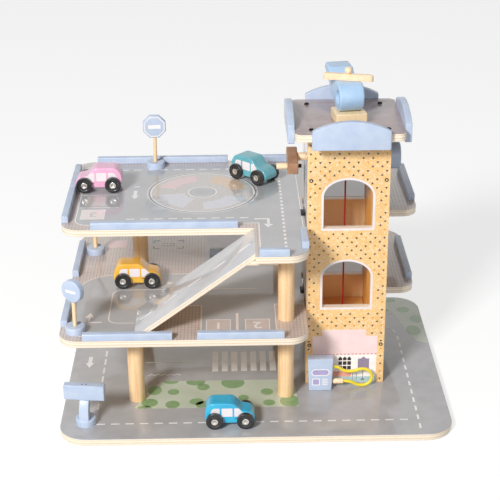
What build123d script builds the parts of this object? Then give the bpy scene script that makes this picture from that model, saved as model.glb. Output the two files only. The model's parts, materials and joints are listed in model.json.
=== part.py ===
from build123d import *
import math
import os

# Toy parking garage with a lift tower. Millimetres, +Z up, origin at the middle of the base's underside.
# The lift tower stands on the right, and +Y runs from the open front to the back.

# ---- boards -------------------------------------------------------------------------------------
board = 9.0  # plywood thickness of base, decks, tower panels and roof
base_length = 480.0
base_depth = 375.0
base_corner = 35.0
road_pitch = 108.0  # rise from one road surface to the next
sharp_corner = 0.8  # eased corner where an outline has no visible radius
base_left = -base_length / 2
base_front = -base_depth / 2
base_back = base_depth / 2

# ---- decks --------------------------------------------------------------------------------------
deck_left_inset = 2.0  # each inset is measured in from the base's edge
deck_right_inset = 31.0
deck_back_inset = 1.5
deck_front_inset = 47.5
bay_front_inset = 134.0  # the top deck's left bay stops here, behind the ramp
wing_front_inset = 185.2
deck_corner = 24.0
wing_corner = 19.0
tower_gap = 0.5  # between a deck's cut-out and the tower

# ---- tower --------------------------------------------------------------------------------------
tower_x = 115.5
tower_y = -7.0
tower_width = 100.0
tower_depth = 104.0
tower_height = 334.0
door_width = 60.0
door_height = 63.5
door_arch = 21.5  # rise of the arched head
shaft_half_width = 30.5  # clear half width between the two guide boards

# ---- roof ---------------------------------------------------------------------------------------
roof_length = 132.0
roof_depth = 138.0
roof_corner = 9.0
fascia_thickness = 8.0
fascia_drop = 8.0  # reach below the roof board
fascia_end_height = 23.0
fascia_mid_height = 35.0
fascia_front_length = 93.0
fascia_side_length = 103.0
fascia_corner = 2.0

# ---- screws and brackets ------------------------------------------------------------------------
screw_clearance = 0.05  # radial, between a shank and its hole
roof_screw_x = 46.0  # offsets from the tower's axis
roof_screw_y = 49.5
roof_screw_shank = 1.5
roof_screw_head = 3.3
roof_screw_rise = 1.8
roof_screw_length = 22.0
panel_screw_x = 45.5
panel_screw_heights = (64.0, 288.0)
panel_screw_shank = 1.3
panel_screw_head = 2.4
panel_screw_rise = 0.6
panel_screw_length = 18.0
bracket_length = 19.0
bracket_leg = 5.0
bracket_rise = 4.0
bracket_sheet = 1.0
bracket_setback = 27.0  # of the right-hand brackets behind the tower's middle

# ---- posts and rails ----------------------------------------------------------------------------
post_radius = 10.2
post_front_left = (-149.0, -92.0)
post_front_right = (39.0, -86.0)
post_rear_left = (-149.0, 77.5)
post_rear_right = (39.0, 77.5)
rail_width = 8.5
rail_height = 9.0
rail_edge = 0.8
# Stretches along X: from, to.
top_back_rails = ((-210.0, -30.5), (9.5, 60.0))
top_bay_rail = (-200.0, -19.0)
top_front_rail = (5.5, 41.0)
middle_front_rails = ((-208.0, -100.0), (-70.0, 35.0))
middle_inner_rail = (-57.0, -20.0)
middle_inner_rail_back = 113.0
# Stretches along Y: from, to.
top_left_rail = (-30.0, 156.0)
top_lobe_rail = (-117.5, -72.5)
top_wing_rail = (29.5, 142.0)
middle_left_rails = ((base_front + 86.0, -14.0), (42.5, 143.5))
middle_wing_rail = (22.0, 145.0)

# ---- ramp ---------------------------------------------------------------------------------------
ramp_thickness = 6.0
ramp_run = 147.5  # level distance from the step to the foot
ramp_step_x = 0.5  # the step in the top deck's front edge
ramp_rail_gap = 0.9  # between the ramp and what is in front of and behind it
ledge_drop = 6.0
ledge_reach = 27.5

# ---- crank and cord -----------------------------------------------------------------------------
axle_radius = 5.0
axle_drop = 42.5  # from the roof board down to the axle's middle
running_clearance = 0.08  # radial, axle in the panels
fixed_clearance = 0.02  # radial, glued joints
crank_gap = 10.0  # from the tower to the crank arm
crank_width = 13.2
crank_height = 14.7
crank_front_reach = 32.0  # from the axle's middle to the handle end
crank_rear_reach = 13.0
crank_droop = 8.7  # degrees that the handle end hangs below level at rest
handle_offset = 23.5
handle_radius = 3.9
handle_length = 13.2
handle_screw_shank = 1.6
handle_screw_head = 2.4
handle_screw_rise = 4.2
disc_gap = 3.0
disc_radius = 16.5
disc_width = 14.0
disc_edge = 1.2
disc_floor = 3.0
cord_radius = 1.1
cord_seat = 0.05  # between the cord and the axle's skin
winding_turns = 3
winding_pitch = 2.75
cord_hole_clearance = 0.3
knot_radius = 3.2
knot_seat = 2.3  # from the knot's middle to the roof that it bears on

# ---- lift cabin ---------------------------------------------------------------------------------
cabin_clearance = 0.7  # to the shaft on each side
cabin_top = 85.8  # above the ground, with the cabin on the base
cabin_roof_thickness = 7.0
cabin_wall = 5.0

# ---- helicopter ---------------------------------------------------------------------------------
heli_x = 117.0
heli_y = -22.5
heli_yaw = 8.0
heli_thickness = 30.0
heli_nose_radius = 17.5
heli_tail_reach = 72.0
heli_tail_length = 24.0
heli_tail_height = 40.0
heli_boom_height = 33.0
heli_window_radius = 9.0
heli_window_setback = 3.5
heli_edge = 1.5
heli_block_width = 38.0
heli_block_length = 34.0
heli_block_height = 13.0
rotor_length = 61.0
rotor_width = 8.0
rotor_thickness = 7.5
rotor_gap = 0.3
rotor_setback = 8.0
rotor_yaw = -13.5
rotor_pin_radius = 1.8
rotor_pin_depth = 10.0
rotor_pin_clearance = 0.06
rotor_ball_radius = 4.7
rotor_ball_seat = 3.8

# ---- cars ---------------------------------------------------------------------------------------
car_length = 62.0
car_width = 24.0
car_top = 33.0
car_sill = 6.0
car_edge = 2.6
car_skirt_inset = 2.5  # of both ends at the sill
car_bumper_height = 13.0  # where each end reaches furthest out
car_back_window = (1.5, 24.0)  # its foot: inset from the tail, and height
car_roof_rear_inset = 8.0
car_roof_front = 3.5  # ahead of the middle
car_bonnet = (13.5, 22.5)  # the windscreen's foot: ahead of the middle, and height
car_nose = (5.0, 20.0)  # the bonnet's front end: inset, and height
wheel_radius = 10.5
wheel_width = 5.2
wheel_base = 37.5
wheel_gap = 0.4  # between a wheel and the body's side
wheel_float = 0.3  # between a wheel and the road
wheel_edge = 1.3
hub_radius = 4.2
hub_rise = 0.7
axle_rod_radius = 1.25
axle_rod_clearance = 0.08
# Each car: name, X and Y of its middle, road that it stands on, heading in degrees from +X.
cars = (
    ("pink_car", base_left + 40.4, base_back - 102.0, "top", 180.0),
    ("turquoise_car", 4.5, base_back - 74.0, "top", -42.6),
    ("yellow_car", base_left + 90.5, 20.0, "middle", 0.0),
    ("blue_car", -32.0, base_front + 35.0, "ground", 0.0),
)

# ---- signs --------------------------------------------------------------------------------------
sign_base_radius = 12.4
sign_base_height = 9.0
sign_base_edge = 1.0
sign_slot_width = 3.5
sign_slot_depth = 8.0
sign_post_radius = 2.6
sign_post_depth = 6.0  # let into the base, and into the head
stop_head_width = 31.0
stop_head_thickness = 7.0
stop_head_height = 59.5  # from the road to the head's middle
round_head_radius = 14.2
round_head_thickness = 9.0
round_head_height = 55.5
triangle_head_radius = 18.0
triangle_head_corner = 3.0
triangle_head_height = 54.0
# Each sign: X and Y of its base, road that it stands on, turn of its face in degrees.
stop_sign = (base_left + 110.6, base_back - 24.7, "top", 4.0)
round_sign = (base_left + 21.5, base_front + 73.5, "middle", -32.0)
triangle_sign = (base_left + 26.6, base_back - 67.5, "middle", -12.0)

# ---- barrier ------------------------------------------------------------------------------------
barrier_x = base_left + 31.5
barrier_y = base_front + 39.2
barrier_yaw = -6.8
barrier_post_width = 11.5
barrier_post_depth = 10.5
barrier_kink_height = 22.0  # above the road
barrier_post_height = 33.6
barrier_lean = 6.5
barrier_board = (50.0, 10.5, 20.0)
barrier_notch_clearance = 0.1

# ---- fuel pump ----------------------------------------------------------------------------------
pump_x = 83.3
pump_y = -72.3  # the middle of its depth
pump_foot_width = 28.8
pump_head_width = 32.6
pump_depth = 14.0
pump_height = 45.0
pump_edge = 0.8
hose_radius = 2.0
hose_socket_depth = 3.0
hose_socket_clearance = 0.1
hose_exit_height = 31.5
nozzle_height = 10.0
nozzle_radius = 3.5
nozzle_length = 13.5
nozzle_peg_radius = 2.0
nozzle_peg_depth = 4.0

# ---- worked out ---------------------------------------------------------------------------------
deck_left = base_left + deck_left_inset
deck_right = -base_left - deck_right_inset
deck_back = base_back - deck_back_inset
deck_front = base_front + deck_front_inset
bay_front = base_front + bay_front_inset
wing_front = base_front + wing_front_inset
road_levels = {"ground": board, "middle": board + road_pitch, "top": board + 2 * road_pitch}
tower_left = tower_x - tower_width / 2
tower_right = tower_x + tower_width / 2
tower_front = tower_y - tower_depth / 2
tower_back = tower_y + tower_depth / 2
roof_underside = board + tower_height
roof_top = roof_underside + board
axle_height = roof_underside - axle_drop
winding_radius = axle_radius + cord_seat + cord_radius
cord_y = tower_y - winding_radius
cord_top = axle_height - 2 * cord_radius
cabin_width = 2 * (shaft_half_width - cabin_clearance)
cabin_depth = tower_depth - 2 * board - 2 * cabin_clearance
cabin_floor_top = 2 * board
cabin_roof_underside = cabin_top - cabin_roof_thickness
cabin_travel = road_levels["top"] - cabin_floor_top


def block(x, y, z):
    """A box given by its (low, high) stretches along the three axes."""
    size = [high - low for low, high in (x, y, z)]
    middle = [(low + high) / 2 for low, high in (x, y, z)]
    return Pos(*middle) * Box(*size)


def cylinder_x(radius, x_from, x_to, y, z):
    """A cylinder along X."""
    body = Rot(0, 90, 0) * Cylinder(radius, x_to - x_from)
    return Pos((x_from + x_to) / 2, y, z) * body


def rounded_plate(corners, radii, underside, thickness):
    """A flat plate with an outline of rounded corners."""
    outline = FilletPolyline(*corners, radius=radii, close=True)
    return Pos(0, 0, underside) * extrude(make_face(outline), thickness)


def rectangle_corners(length, depth):
    """The corners of a rectangle about the origin."""
    return [(sx * length / 2, sy * depth / 2) for sx, sy in ((-1, -1), (1, -1), (1, 1), (-1, 1))]


# ---- boards -------------------------------------------------------------------------------------
def make_base_board():
    return rounded_plate(rectangle_corners(base_length, base_depth), [base_corner] * 4, 0, board)


def tower_cut_out():
    """The part of a deck's outline that goes round the tower, from its front left to the wing."""
    left = tower_left - tower_gap
    right = tower_right + tower_gap
    back = tower_back + tower_gap
    corners = [(left, back), (right, back), (right, wing_front), (deck_right, wing_front)]
    return corners, [sharp_corner, sharp_corner, sharp_corner, wing_corner]


def make_deck_middle():
    round_tower, round_radii = tower_cut_out()
    start = [(deck_left, deck_front), (tower_left - tower_gap, deck_front)]
    corners = start + round_tower + [(deck_right, deck_back), (deck_left, deck_back)]
    radii = [deck_corner, deck_corner] + round_radii + [deck_corner, deck_corner]
    return rounded_plate(corners, radii, road_levels["middle"] - board, board)


def make_deck_top():
    round_tower, round_radii = tower_cut_out()
    step = [(deck_left, bay_front), (ramp_step_x, bay_front), (ramp_step_x, deck_front)]
    start = step + [(tower_left - tower_gap, deck_front)]
    corners = start + round_tower + [(deck_right, deck_back), (deck_left, deck_back)]
    start_radii = [deck_corner, sharp_corner, sharp_corner, deck_corner]
    radii = start_radii + round_radii + [deck_corner, deck_corner]
    return rounded_plate(corners, radii, road_levels["top"] - board, board)


# ---- posts and rails ----------------------------------------------------------------------------
def post(place, floor):
    """A round post from a road up to the underside of the deck above."""
    length = road_pitch - board
    return Pos(place[0], place[1], road_levels[floor] + length / 2) * Cylinder(post_radius, length)


def make_deck_posts():
    lower = (post_front_left, post_front_right, post_rear_left, post_rear_right)
    upper = (post_front_right, post_rear_left, post_rear_right)
    return Compound([post(place, "ground") for place in lower] + [post(place, "middle") for place in upper])


def rail(x, y, floor):
    """A square kerb rail with eased long edges, standing on a road surface."""
    level = road_levels[floor]
    body = block(x, y, (level, level + rail_height))
    along = Axis.X if x[1] - x[0] > y[1] - y[0] else Axis.Y
    return chamfer(body.edges().filter_by(along).group_by(Axis.Z)[-1], rail_edge)


def make_deck_rails():
    back = (deck_back - rail_width, deck_back)
    front = (deck_front, deck_front + rail_width)
    bay = (bay_front, bay_front + rail_width)
    left = (deck_left, deck_left + rail_width)
    right = (deck_right - rail_width, deck_right)
    lobe = (tower_left - tower_gap - rail_width, tower_left - tower_gap)
    inner = (middle_inner_rail_back - rail_width, middle_inner_rail_back)
    top = [(stretch, back) for stretch in top_back_rails]
    top += [(top_bay_rail, bay), (top_front_rail, front)]
    top += [(left, top_left_rail), (lobe, top_lobe_rail), (right, top_wing_rail)]
    middle = [(stretch, front) for stretch in middle_front_rails]
    middle += [(left, stretch) for stretch in middle_left_rails]
    middle += [(right, middle_wing_rail), (middle_inner_rail, inner)]
    return Compound([rail(x, y, "top") for x, y in top] + [rail(x, y, "middle") for x, y in middle])


# ---- ramp ---------------------------------------------------------------------------------------
def ramp_profile():
    """The ramp's four corners in the XZ plane: foot, top, top underside, foot underside."""
    slope = math.atan2(road_pitch, ramp_run)
    foot = (ramp_step_x - ramp_run, road_levels["middle"])
    top = (ramp_step_x, road_levels["top"])
    top_under = (ramp_step_x, road_levels["top"] - ramp_thickness / math.cos(slope))
    foot_under = (foot[0] + ramp_thickness / math.sin(slope), road_levels["middle"])
    return foot, top, top_under, foot_under


def ramp_side_extrusion(points):
    """A profile in the XZ plane carried across the ramp's width, from the front rail to the bay."""
    front = deck_front + rail_width + ramp_rail_gap
    back = bay_front - ramp_rail_gap
    face = make_face(Polyline(*points, close=True))
    return Pos(0, back, 0) * extrude(Plane.XZ * face, back - front)


def make_ramp():
    foot, top, top_under, foot_under = ramp_profile()
    return ramp_side_extrusion([foot, top, top_under, foot_under])


def make_ramp_ledge():
    """A bevelled batten under the step, which carries the ramp's upper end."""
    top_under = ramp_profile()[2]
    slope = road_pitch / ramp_run
    high = road_levels["top"] - board
    low = high - ledge_drop
    high_x = top_under[0] - (top_under[1] - high) / slope
    low_x = top_under[0] - (top_under[1] - low) / slope
    end = ramp_step_x + ledge_reach
    return ramp_side_extrusion([(low_x, low), (end, low), (end, high), (high_x, high)])


# ---- tower --------------------------------------------------------------------------------------
def doorway(floor, y):
    """A cutter for an arched opening through a panel, with its sill on a road surface."""
    half = door_width / 2
    shoulder = door_height - door_arch
    sides = Polyline((-half, shoulder), (-half, 0), (half, 0), (half, shoulder))
    head = EllipticalCenterArc((0, shoulder), half, door_arch, start_angle=0, arc_size=180)
    face = make_face(sides + head)
    cutter = extrude(Plane.XZ * face, board, both=True)
    return Pos(tower_x, y, road_levels[floor]) * cutter


def axle_bore():
    return cylinder_x(axle_radius + running_clearance, tower_left - 1, tower_right + 1, tower_y, axle_height)


def panel_screw_places():
    return [(tower_x + side * panel_screw_x, height) for side in (-1, 1) for height in panel_screw_heights]


def panel_screw_shanks(radius):
    """The shanks of the screws that hold the front panel to the side panels."""
    shanks = []
    for x, z in panel_screw_places():
        shank = Rot(90, 0, 0) * Cylinder(radius, panel_screw_length)
        shanks.append(Pos(x, tower_front + panel_screw_length / 2, z) * shank)
    return shanks


def roof_screw_places():
    return [(tower_x + sx * roof_screw_x, tower_y + sy * roof_screw_y) for sx in (-1, 1) for sy in (-1, 1)]


def roof_screw_shanks(radius):
    """The shanks of the screws that hold the roof board to the tower."""
    middle = roof_top - roof_screw_length / 2
    return [Pos(x, y, middle) * Cylinder(radius, roof_screw_length) for x, y in roof_screw_places()]


def drilled(body, cutters):
    for cutter in cutters:
        body = body - cutter
    return body


def make_tower_front_panel():
    y = (tower_front, tower_front + board)
    panel = block((tower_left, tower_right), y, (board, roof_underside))
    middle = tower_front + board / 2
    windows = [doorway(floor, middle) for floor in ("middle", "top")]
    holes = panel_screw_shanks(panel_screw_shank + screw_clearance)
    holes += roof_screw_shanks(roof_screw_shank + screw_clearance)
    return drilled(panel, windows + holes)


def make_tower_rear_panel():
    y = (tower_back - board, tower_back)
    panel = block((tower_left, tower_right), y, (board, roof_underside))
    doors = [doorway(floor, tower_back - board / 2) for floor in road_levels]
    return drilled(panel, doors + roof_screw_shanks(roof_screw_shank + screw_clearance))


def make_tower_side_panel(x_from):
    y = (tower_front + board, tower_back - board)
    panel = block((x_from, x_from + board), y, (board, roof_underside))
    return drilled(panel, [axle_bore()] + panel_screw_shanks(panel_screw_shank + screw_clearance))


def make_tower_left_panel():
    return make_tower_side_panel(tower_left)


def make_tower_right_panel():
    return make_tower_side_panel(tower_right - board)


def make_shaft_guides():
    """Two lining boards that bring the shaft in to the width of the doorways."""
    y = (tower_front + board, tower_back - board)
    z = (board, roof_underside)
    left = block((tower_left + board, tower_x - shaft_half_width), y, z)
    right = block((tower_x + shaft_half_width, tower_right - board), y, z)
    return Compound([left - axle_bore(), right - axle_bore()])


def make_deck_brackets():
    """Small angle brackets between the decks and the tower's sides."""
    brackets = []
    for level in (road_levels["middle"], road_levels["top"]):
        for side, wall, y in ((-1, tower_left, tower_y), (1, tower_right, tower_y + bracket_setback)):
            stretch = (y - bracket_length / 2, y + bracket_length / 2)
            leg_x = sorted((wall, wall + side * bracket_leg))
            rise_x = sorted((wall, wall + side * bracket_sheet))
            leg = block(leg_x, stretch, (level, level + bracket_sheet))
            rise = block(rise_x, stretch, (level, level + bracket_rise))
            brackets.append(leg + rise)
    return Compound(brackets)


# ---- roof ---------------------------------------------------------------------------------------
def make_roof_board():
    corners = rectangle_corners(roof_length, roof_depth)
    plate = rounded_plate(corners, [roof_corner] * 4, roof_underside, board)
    plate = Pos(tower_x, tower_y, 0) * plate
    return drilled(plate, roof_screw_shanks(roof_screw_shank + screw_clearance))


def fascia(length):
    """An arched board, standing on its long edge, with its back on the plane Y = 0."""
    half = length / 2
    end = fascia_end_height
    sides = Polyline((half, end), (half, 0), (-half, 0), (-half, end))
    head = ThreePointArc((-half, end), (0, fascia_mid_height), (half, end))
    face = fillet(make_face(sides + head).vertices(), fascia_corner)
    return Pos(0, 0, roof_underside - fascia_drop) * extrude(Plane.XZ * face, fascia_thickness)


def make_fascia_front():
    return Pos(tower_x, tower_y - roof_depth / 2, 0) * fascia(fascia_front_length)


def make_fascia_rear():
    return Pos(tower_x, tower_y + roof_depth / 2, 0) * (Rot(0, 0, 180) * fascia(fascia_front_length))


def make_fascia_sides():
    left = Rot(0, 0, -90) * fascia(fascia_side_length)
    right = Rot(0, 0, 90) * fascia(fascia_side_length)
    left = Pos(tower_x - roof_length / 2, tower_y, 0) * left
    right = Pos(tower_x + roof_length / 2, tower_y, 0) * right
    return Compound([left, right])


def make_tower_screws():
    screws = []
    for shank, (x, y) in zip(roof_screw_shanks(roof_screw_shank), roof_screw_places()):
        head = Cone(roof_screw_head, roof_screw_head * 0.6, roof_screw_rise)
        screws.append(shank + Pos(x, y, roof_top + roof_screw_rise / 2) * head)
    for shank, (x, z) in zip(panel_screw_shanks(panel_screw_shank), panel_screw_places()):
        head = Rot(90, 0, 0) * Cylinder(panel_screw_head, panel_screw_rise)
        screws.append(shank + Pos(x, tower_front - panel_screw_rise / 2, z) * head)
    return Compound(screws)


# ---- crank --------------------------------------------------------------------------------------
arm_right = tower_left - crank_gap
arm_left = arm_right - crank_width
disc_left = tower_right + disc_gap


def on_crank(body):
    """Turns a piece drawn with a level crank to the crank's rest angle."""
    return Pos(0, tower_y, axle_height) * (Rot(crank_droop, 0, 0) * (Pos(0, -tower_y, -axle_height) * body))


def make_crank_axle():
    return cylinder_x(axle_radius, arm_left, disc_left + disc_width - disc_floor, tower_y, axle_height)


def make_crank_arm():
    y = (tower_y - crank_front_reach, tower_y + crank_rear_reach)
    z = (axle_height - crank_height / 2, axle_height + crank_height / 2)
    arm = block((arm_left, arm_right), y, z)
    arm = chamfer(arm.edges(), rail_edge)
    arm = arm - cylinder_x(axle_radius + fixed_clearance, arm_left - 1, arm_right + 1, tower_y, axle_height)
    hole = handle_screw_shank + screw_clearance
    handle_y = tower_y - handle_offset
    return on_crank(arm - cylinder_x(hole, arm_left - 1, arm_right + 1, handle_y, axle_height))


def make_crank_handle():
    handle_y = tower_y - handle_offset
    handle = cylinder_x(handle_radius, arm_left - handle_length, arm_left, handle_y, axle_height)
    handle = fillet(handle.edges().group_by(Axis.X)[0], rail_edge)
    bore = handle_screw_shank + screw_clearance
    return on_crank(handle - cylinder_x(bore, arm_left - handle_length + 3, arm_left + 1, handle_y, axle_height))


def make_handle_screw():
    handle_y = tower_y - handle_offset
    shank = cylinder_x(handle_screw_shank, arm_left - handle_length + 3.5, arm_right + 1, handle_y, axle_height)
    head = cylinder_x(handle_screw_head, arm_right, arm_right + handle_screw_rise, handle_y, axle_height)
    return on_crank(shank + head)


def make_axle_disc():
    disc = cylinder_x(disc_radius, disc_left, disc_left + disc_width, tower_y, axle_height)
    disc = fillet(disc.edges(), disc_edge)
    bore_end = disc_left + disc_width - disc_floor
    return disc - cylinder_x(axle_radius + fixed_clearance, disc_left - 1, bore_end, tower_y, axle_height)


def winding_point(turn):
    """A point of the cord's middle line on the axle, a number of turns from where it hangs."""
    angle = math.pi - 2 * math.pi * turn
    y = tower_y + winding_radius * math.cos(angle)
    z = axle_height + winding_radius * math.sin(angle)
    return Vector(tower_x - winding_pitch * turn, y, z)


def make_cord_winding():
    """The turns of cord on the axle, one unbroken tube with a short straight run at each end."""
    straight = 2 * cord_radius
    start = winding_point(0)
    path = [Line(start - Vector(0, 0, straight), start)]
    for quarter in range(4 * winding_turns):
        points = [winding_point((quarter + part / 2) / 4) for part in range(3)]
        path.append(ThreePointArc(*points))
    end = winding_point(winding_turns)
    path.append(Line(end, end + Vector(0, 0, straight)))
    wire = Wire(path)
    profile = Plane(origin=wire @ 0, z_dir=wire % 0) * Circle(cord_radius)
    tube = sweep(profile, wire)
    gap = winding_pitch * math.cos(math.atan2(winding_pitch, 2 * math.pi * winding_radius)) - 2 * cord_radius
    print("cord winding: least gap to itself", round(gap, 3), "tube volume", round(tube.volume, 1))
    print("cord winding: section times length", round(math.pi * cord_radius**2 * wire.length, 1))
    return tube


def make_lift_cord():
    length = cord_top - cabin_roof_underside
    return Pos(tower_x, cord_y, cabin_roof_underside + length / 2) * Cylinder(cord_radius, length)


# ---- lift cabin ---------------------------------------------------------------------------------
def cabin_board(underside, thickness):
    x = (tower_x - cabin_width / 2, tower_x + cabin_width / 2)
    y = (tower_y - cabin_depth / 2, tower_y + cabin_depth / 2)
    return block(x, y, (underside, underside + thickness))


def make_cabin_floor():
    return cabin_board(board, cabin_floor_top - board)


def make_cabin_roof():
    roof = cabin_board(cabin_roof_underside, cabin_roof_thickness)
    hole = Cylinder(cord_radius + cord_hole_clearance, 3 * cabin_roof_thickness)
    return roof - Pos(tower_x, cord_y, cabin_top) * hole


def make_cabin_sides():
    sides = []
    for side in (-1, 1):
        outer = tower_x + side * cabin_width / 2
        x = sorted((outer, outer - side * cabin_wall))
        y = (tower_y - cabin_depth / 2, tower_y + cabin_depth / 2)
        sides.append(block(x, y, (cabin_floor_top, cabin_roof_underside)))
    return Compound(sides)


def make_cord_knot():
    """The knot under the cabin roof, flat where it bears on the board."""
    middle = cabin_roof_underside - knot_seat
    ball = Pos(tower_x, cord_y, middle) * Sphere(knot_radius)
    above = Pos(tower_x, cord_y, cabin_roof_underside + knot_radius) * Box(*[2 * knot_radius] * 3)
    return ball - above


# ---- helicopter ---------------------------------------------------------------------------------
def on_roof(body):
    """Sets a piece drawn round the helicopter's own origin on the roof."""
    return Pos(heli_x, heli_y, roof_top) * (Rot(0, 0, heli_yaw) * body)


def rotor_hole(radius, depth):
    top = heli_block_height + 2 * heli_nose_radius
    return Pos(0, rotor_setback, top - depth / 2) * Cylinder(radius, depth)


def make_helicopter_body():
    """A thick cut-out: a round cabin with a window hole, and a boom that rises to the tail."""
    nose = heli_nose_radius
    tail = heli_tail_reach
    root = tail - heli_tail_length
    boom = Polyline(
        (0, 2 * nose),
        (2 * rotor_setback, 2 * nose),
        (root - 8, heli_boom_height),
        (root, heli_tail_height),
        (tail, heli_tail_height),
        (tail + 2, heli_boom_height),
        (nose, 5),
        (0, nose),
        close=True,
    )
    side = make_face(boom) + Pos(0, nose) * Circle(nose)
    side = side - Pos(-heli_window_setback, nose) * Circle(heli_window_radius)
    body = extrude(Plane.YZ * side, heli_thickness / 2, both=True)
    faces = body.faces().filter_by(Axis.X)
    outer = [wire for face in faces for wire in face.outer_wire().edges()]
    body = chamfer(outer, heli_edge)
    body = Pos(0, 0, heli_block_height) * body
    return on_roof(body - rotor_hole(rotor_pin_radius + fixed_clearance, rotor_pin_depth))


def make_helicopter_block():
    block_body = Box(heli_block_width, heli_block_length, heli_block_height)
    block_body = chamfer(block_body.edges(), rail_edge)
    return on_roof(Pos(0, 0, heli_block_height / 2) * block_body)


def make_rotor_bar():
    low = heli_block_height + 2 * heli_nose_radius + rotor_gap
    bar = extrude(SlotOverall(rotor_length, rotor_width), rotor_thickness)
    bar = chamfer(bar.edges().group_by(Axis.Z)[-1], 1.5)
    bar = bar - Cylinder(rotor_pin_radius + rotor_pin_clearance, 4 * rotor_thickness)
    return on_roof(Pos(0, rotor_setback, low) * (Rot(0, 0, rotor_yaw - heli_yaw) * bar))


def make_rotor_pin():
    body_top = heli_block_height + 2 * heli_nose_radius
    bar_top = body_top + rotor_gap + rotor_thickness
    head_low = bar_top + rotor_gap
    length = rotor_pin_depth + head_low - body_top + 1
    shank = Pos(0, rotor_setback, head_low + 1 - length / 2) * Cylinder(rotor_pin_radius, length)
    ball = Pos(0, rotor_setback, head_low + rotor_ball_seat) * Sphere(rotor_ball_radius)
    below = Pos(0, rotor_setback, head_low - rotor_ball_radius) * Box(*[2 * rotor_ball_radius] * 3)
    return on_roof(shank + (ball - below))


# ---- cars ---------------------------------------------------------------------------------------
def on_road(body, x, y, floor, heading):
    """Sets a piece drawn round its own origin on a road surface."""
    return Pos(x, y, road_levels[floor]) * (Rot(0, 0, heading) * body)


def car_body():
    """A wooden block car, nose towards +X."""
    half = car_length / 2
    side = Polyline(
        (-half + car_skirt_inset, car_sill),
        (-half, car_bumper_height),
        (-half + car_back_window[0], car_back_window[1]),
        (-half + car_roof_rear_inset, car_top),
        (car_roof_front, car_top),
        car_bonnet,
        (half - car_nose[0], car_nose[1]),
        (half, car_bumper_height),
        (half - car_skirt_inset, car_sill),
        close=True,
    )
    body = extrude(Plane.XZ * make_face(side), car_width / 2, both=True)
    body = chamfer(body.faces().filter_by(Axis.Y).edges(), car_edge)
    for end in (-1, 1):
        bore = Rot(90, 0, 0) * Cylinder(axle_rod_radius + axle_rod_clearance, 2 * car_width)
        body = body - Pos(end * wheel_base / 2, 0, wheel_radius + wheel_float) * bore
    return body


def car_wheels(end):
    """A steel rod with a wheel on each end, at the rear (-1) or the front (1)."""
    inner = car_width / 2 + wheel_gap
    outer = inner + wheel_width
    rod = Cylinder(axle_rod_radius, 2 * outer)
    pieces = []
    for side in (-1, 1):
        wheel = Cylinder(wheel_radius, wheel_width)
        wheel = fillet(wheel.edges(), wheel_edge)
        wheel = wheel - Cylinder(axle_rod_radius + fixed_clearance, 2 * wheel_width)
        pieces.append(Pos(0, 0, side * (inner + wheel_width / 2)) * wheel)
        hub = Cylinder(hub_radius, hub_rise)
        rod = rod + Pos(0, 0, side * (outer + hub_rise / 2)) * hub
    pieces.append(rod)
    place = Pos(end * wheel_base / 2, 0, wheel_radius + wheel_float)
    return Compound([place * (Rot(90, 0, 0) * piece) for piece in pieces])


# ---- signs --------------------------------------------------------------------------------------
def sign_base():
    disc = Pos(0, 0, sign_base_height / 2) * Cylinder(sign_base_radius, sign_base_height)
    disc = chamfer(disc.edges().group_by(Axis.Z)[-1], sign_base_edge)
    slot_middle = sign_base_radius - sign_slot_depth / 2 + 1
    slot = Box(sign_slot_depth + 2, sign_slot_width, 4 * sign_base_height)
    disc = disc - Rot(0, 0, 52) * (Pos(slot_middle, 0, 0) * slot)
    hole = Cylinder(sign_post_radius + fixed_clearance, sign_post_depth)
    return disc - Pos(0, 0, sign_base_height - sign_post_depth / 2) * hole


def sign_post(head_bottom):
    low = sign_base_height - sign_post_depth
    high = head_bottom + sign_post_depth
    return Pos(0, 0, (low + high) / 2) * Cylinder(sign_post_radius, high - low)


def sign_head(outline, thickness, height, head_bottom):
    """A flat head facing -Y, drilled from below for its post."""
    head = Pos(0, 0, height) * extrude(Plane.XZ * outline, thickness / 2, both=True)
    head = chamfer(head.faces().filter_by(Axis.Y).edges(), sign_base_edge)
    hole = Cylinder(sign_post_radius + fixed_clearance, 2 * sign_post_depth)
    return head - Pos(0, 0, head_bottom) * hole


def stop_head():
    octagon = Rot(0, 0, 22.5) * RegularPolygon(stop_head_width / 2, 8, major_radius=False)
    return make_face(octagon.wire()), stop_head_thickness, stop_head_height, stop_head_width / 2


def round_head():
    return Circle(round_head_radius), round_head_thickness, round_head_height, round_head_radius


def triangle_head():
    """A triangle with its point down, rounded at the corners."""
    triangle = Rot(0, 0, -90) * RegularPolygon(triangle_head_radius, 3)
    outline = fillet(triangle.vertices(), triangle_head_corner)
    rise = triangle_head_radius - triangle_head_corner
    return outline, stop_head_thickness, triangle_head_height, rise


def write_sign(name, place, head):
    """Writes a sign's base, post and head."""
    outline, thickness, height, reach = head
    head_bottom = height - reach
    yaw = place[3]
    write(name + "_base", on_road(sign_base(), *place[:3], 0))
    write(name + "_post", on_road(sign_post(head_bottom), *place[:3], 0))
    write(name + "_head", on_road(sign_head(outline, thickness, height, head_bottom), *place[:3], yaw))


# ---- barrier ------------------------------------------------------------------------------------
def on_barrier(body):
    return on_road(body, barrier_x, barrier_y, "ground", barrier_yaw)


def barrier_post_front():
    return -sign_base_radius + 2


def barrier_post_body(width, depth_margin):
    """The kinked post: upright in its base, then leaning back to the board."""
    front = barrier_post_front()
    back = front + barrier_post_depth
    lean = barrier_lean
    profile = [
        (front - depth_margin, 0),
        (front - depth_margin, barrier_kink_height),
        (front + lean - depth_margin, barrier_post_height),
        (back + lean + depth_margin, barrier_post_height),
        (back + depth_margin, barrier_kink_height),
        (back + depth_margin, 0),
    ]
    face = make_face(Polyline(*profile, close=True))
    return extrude(Plane.YZ * face, width / 2, both=True)


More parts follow.
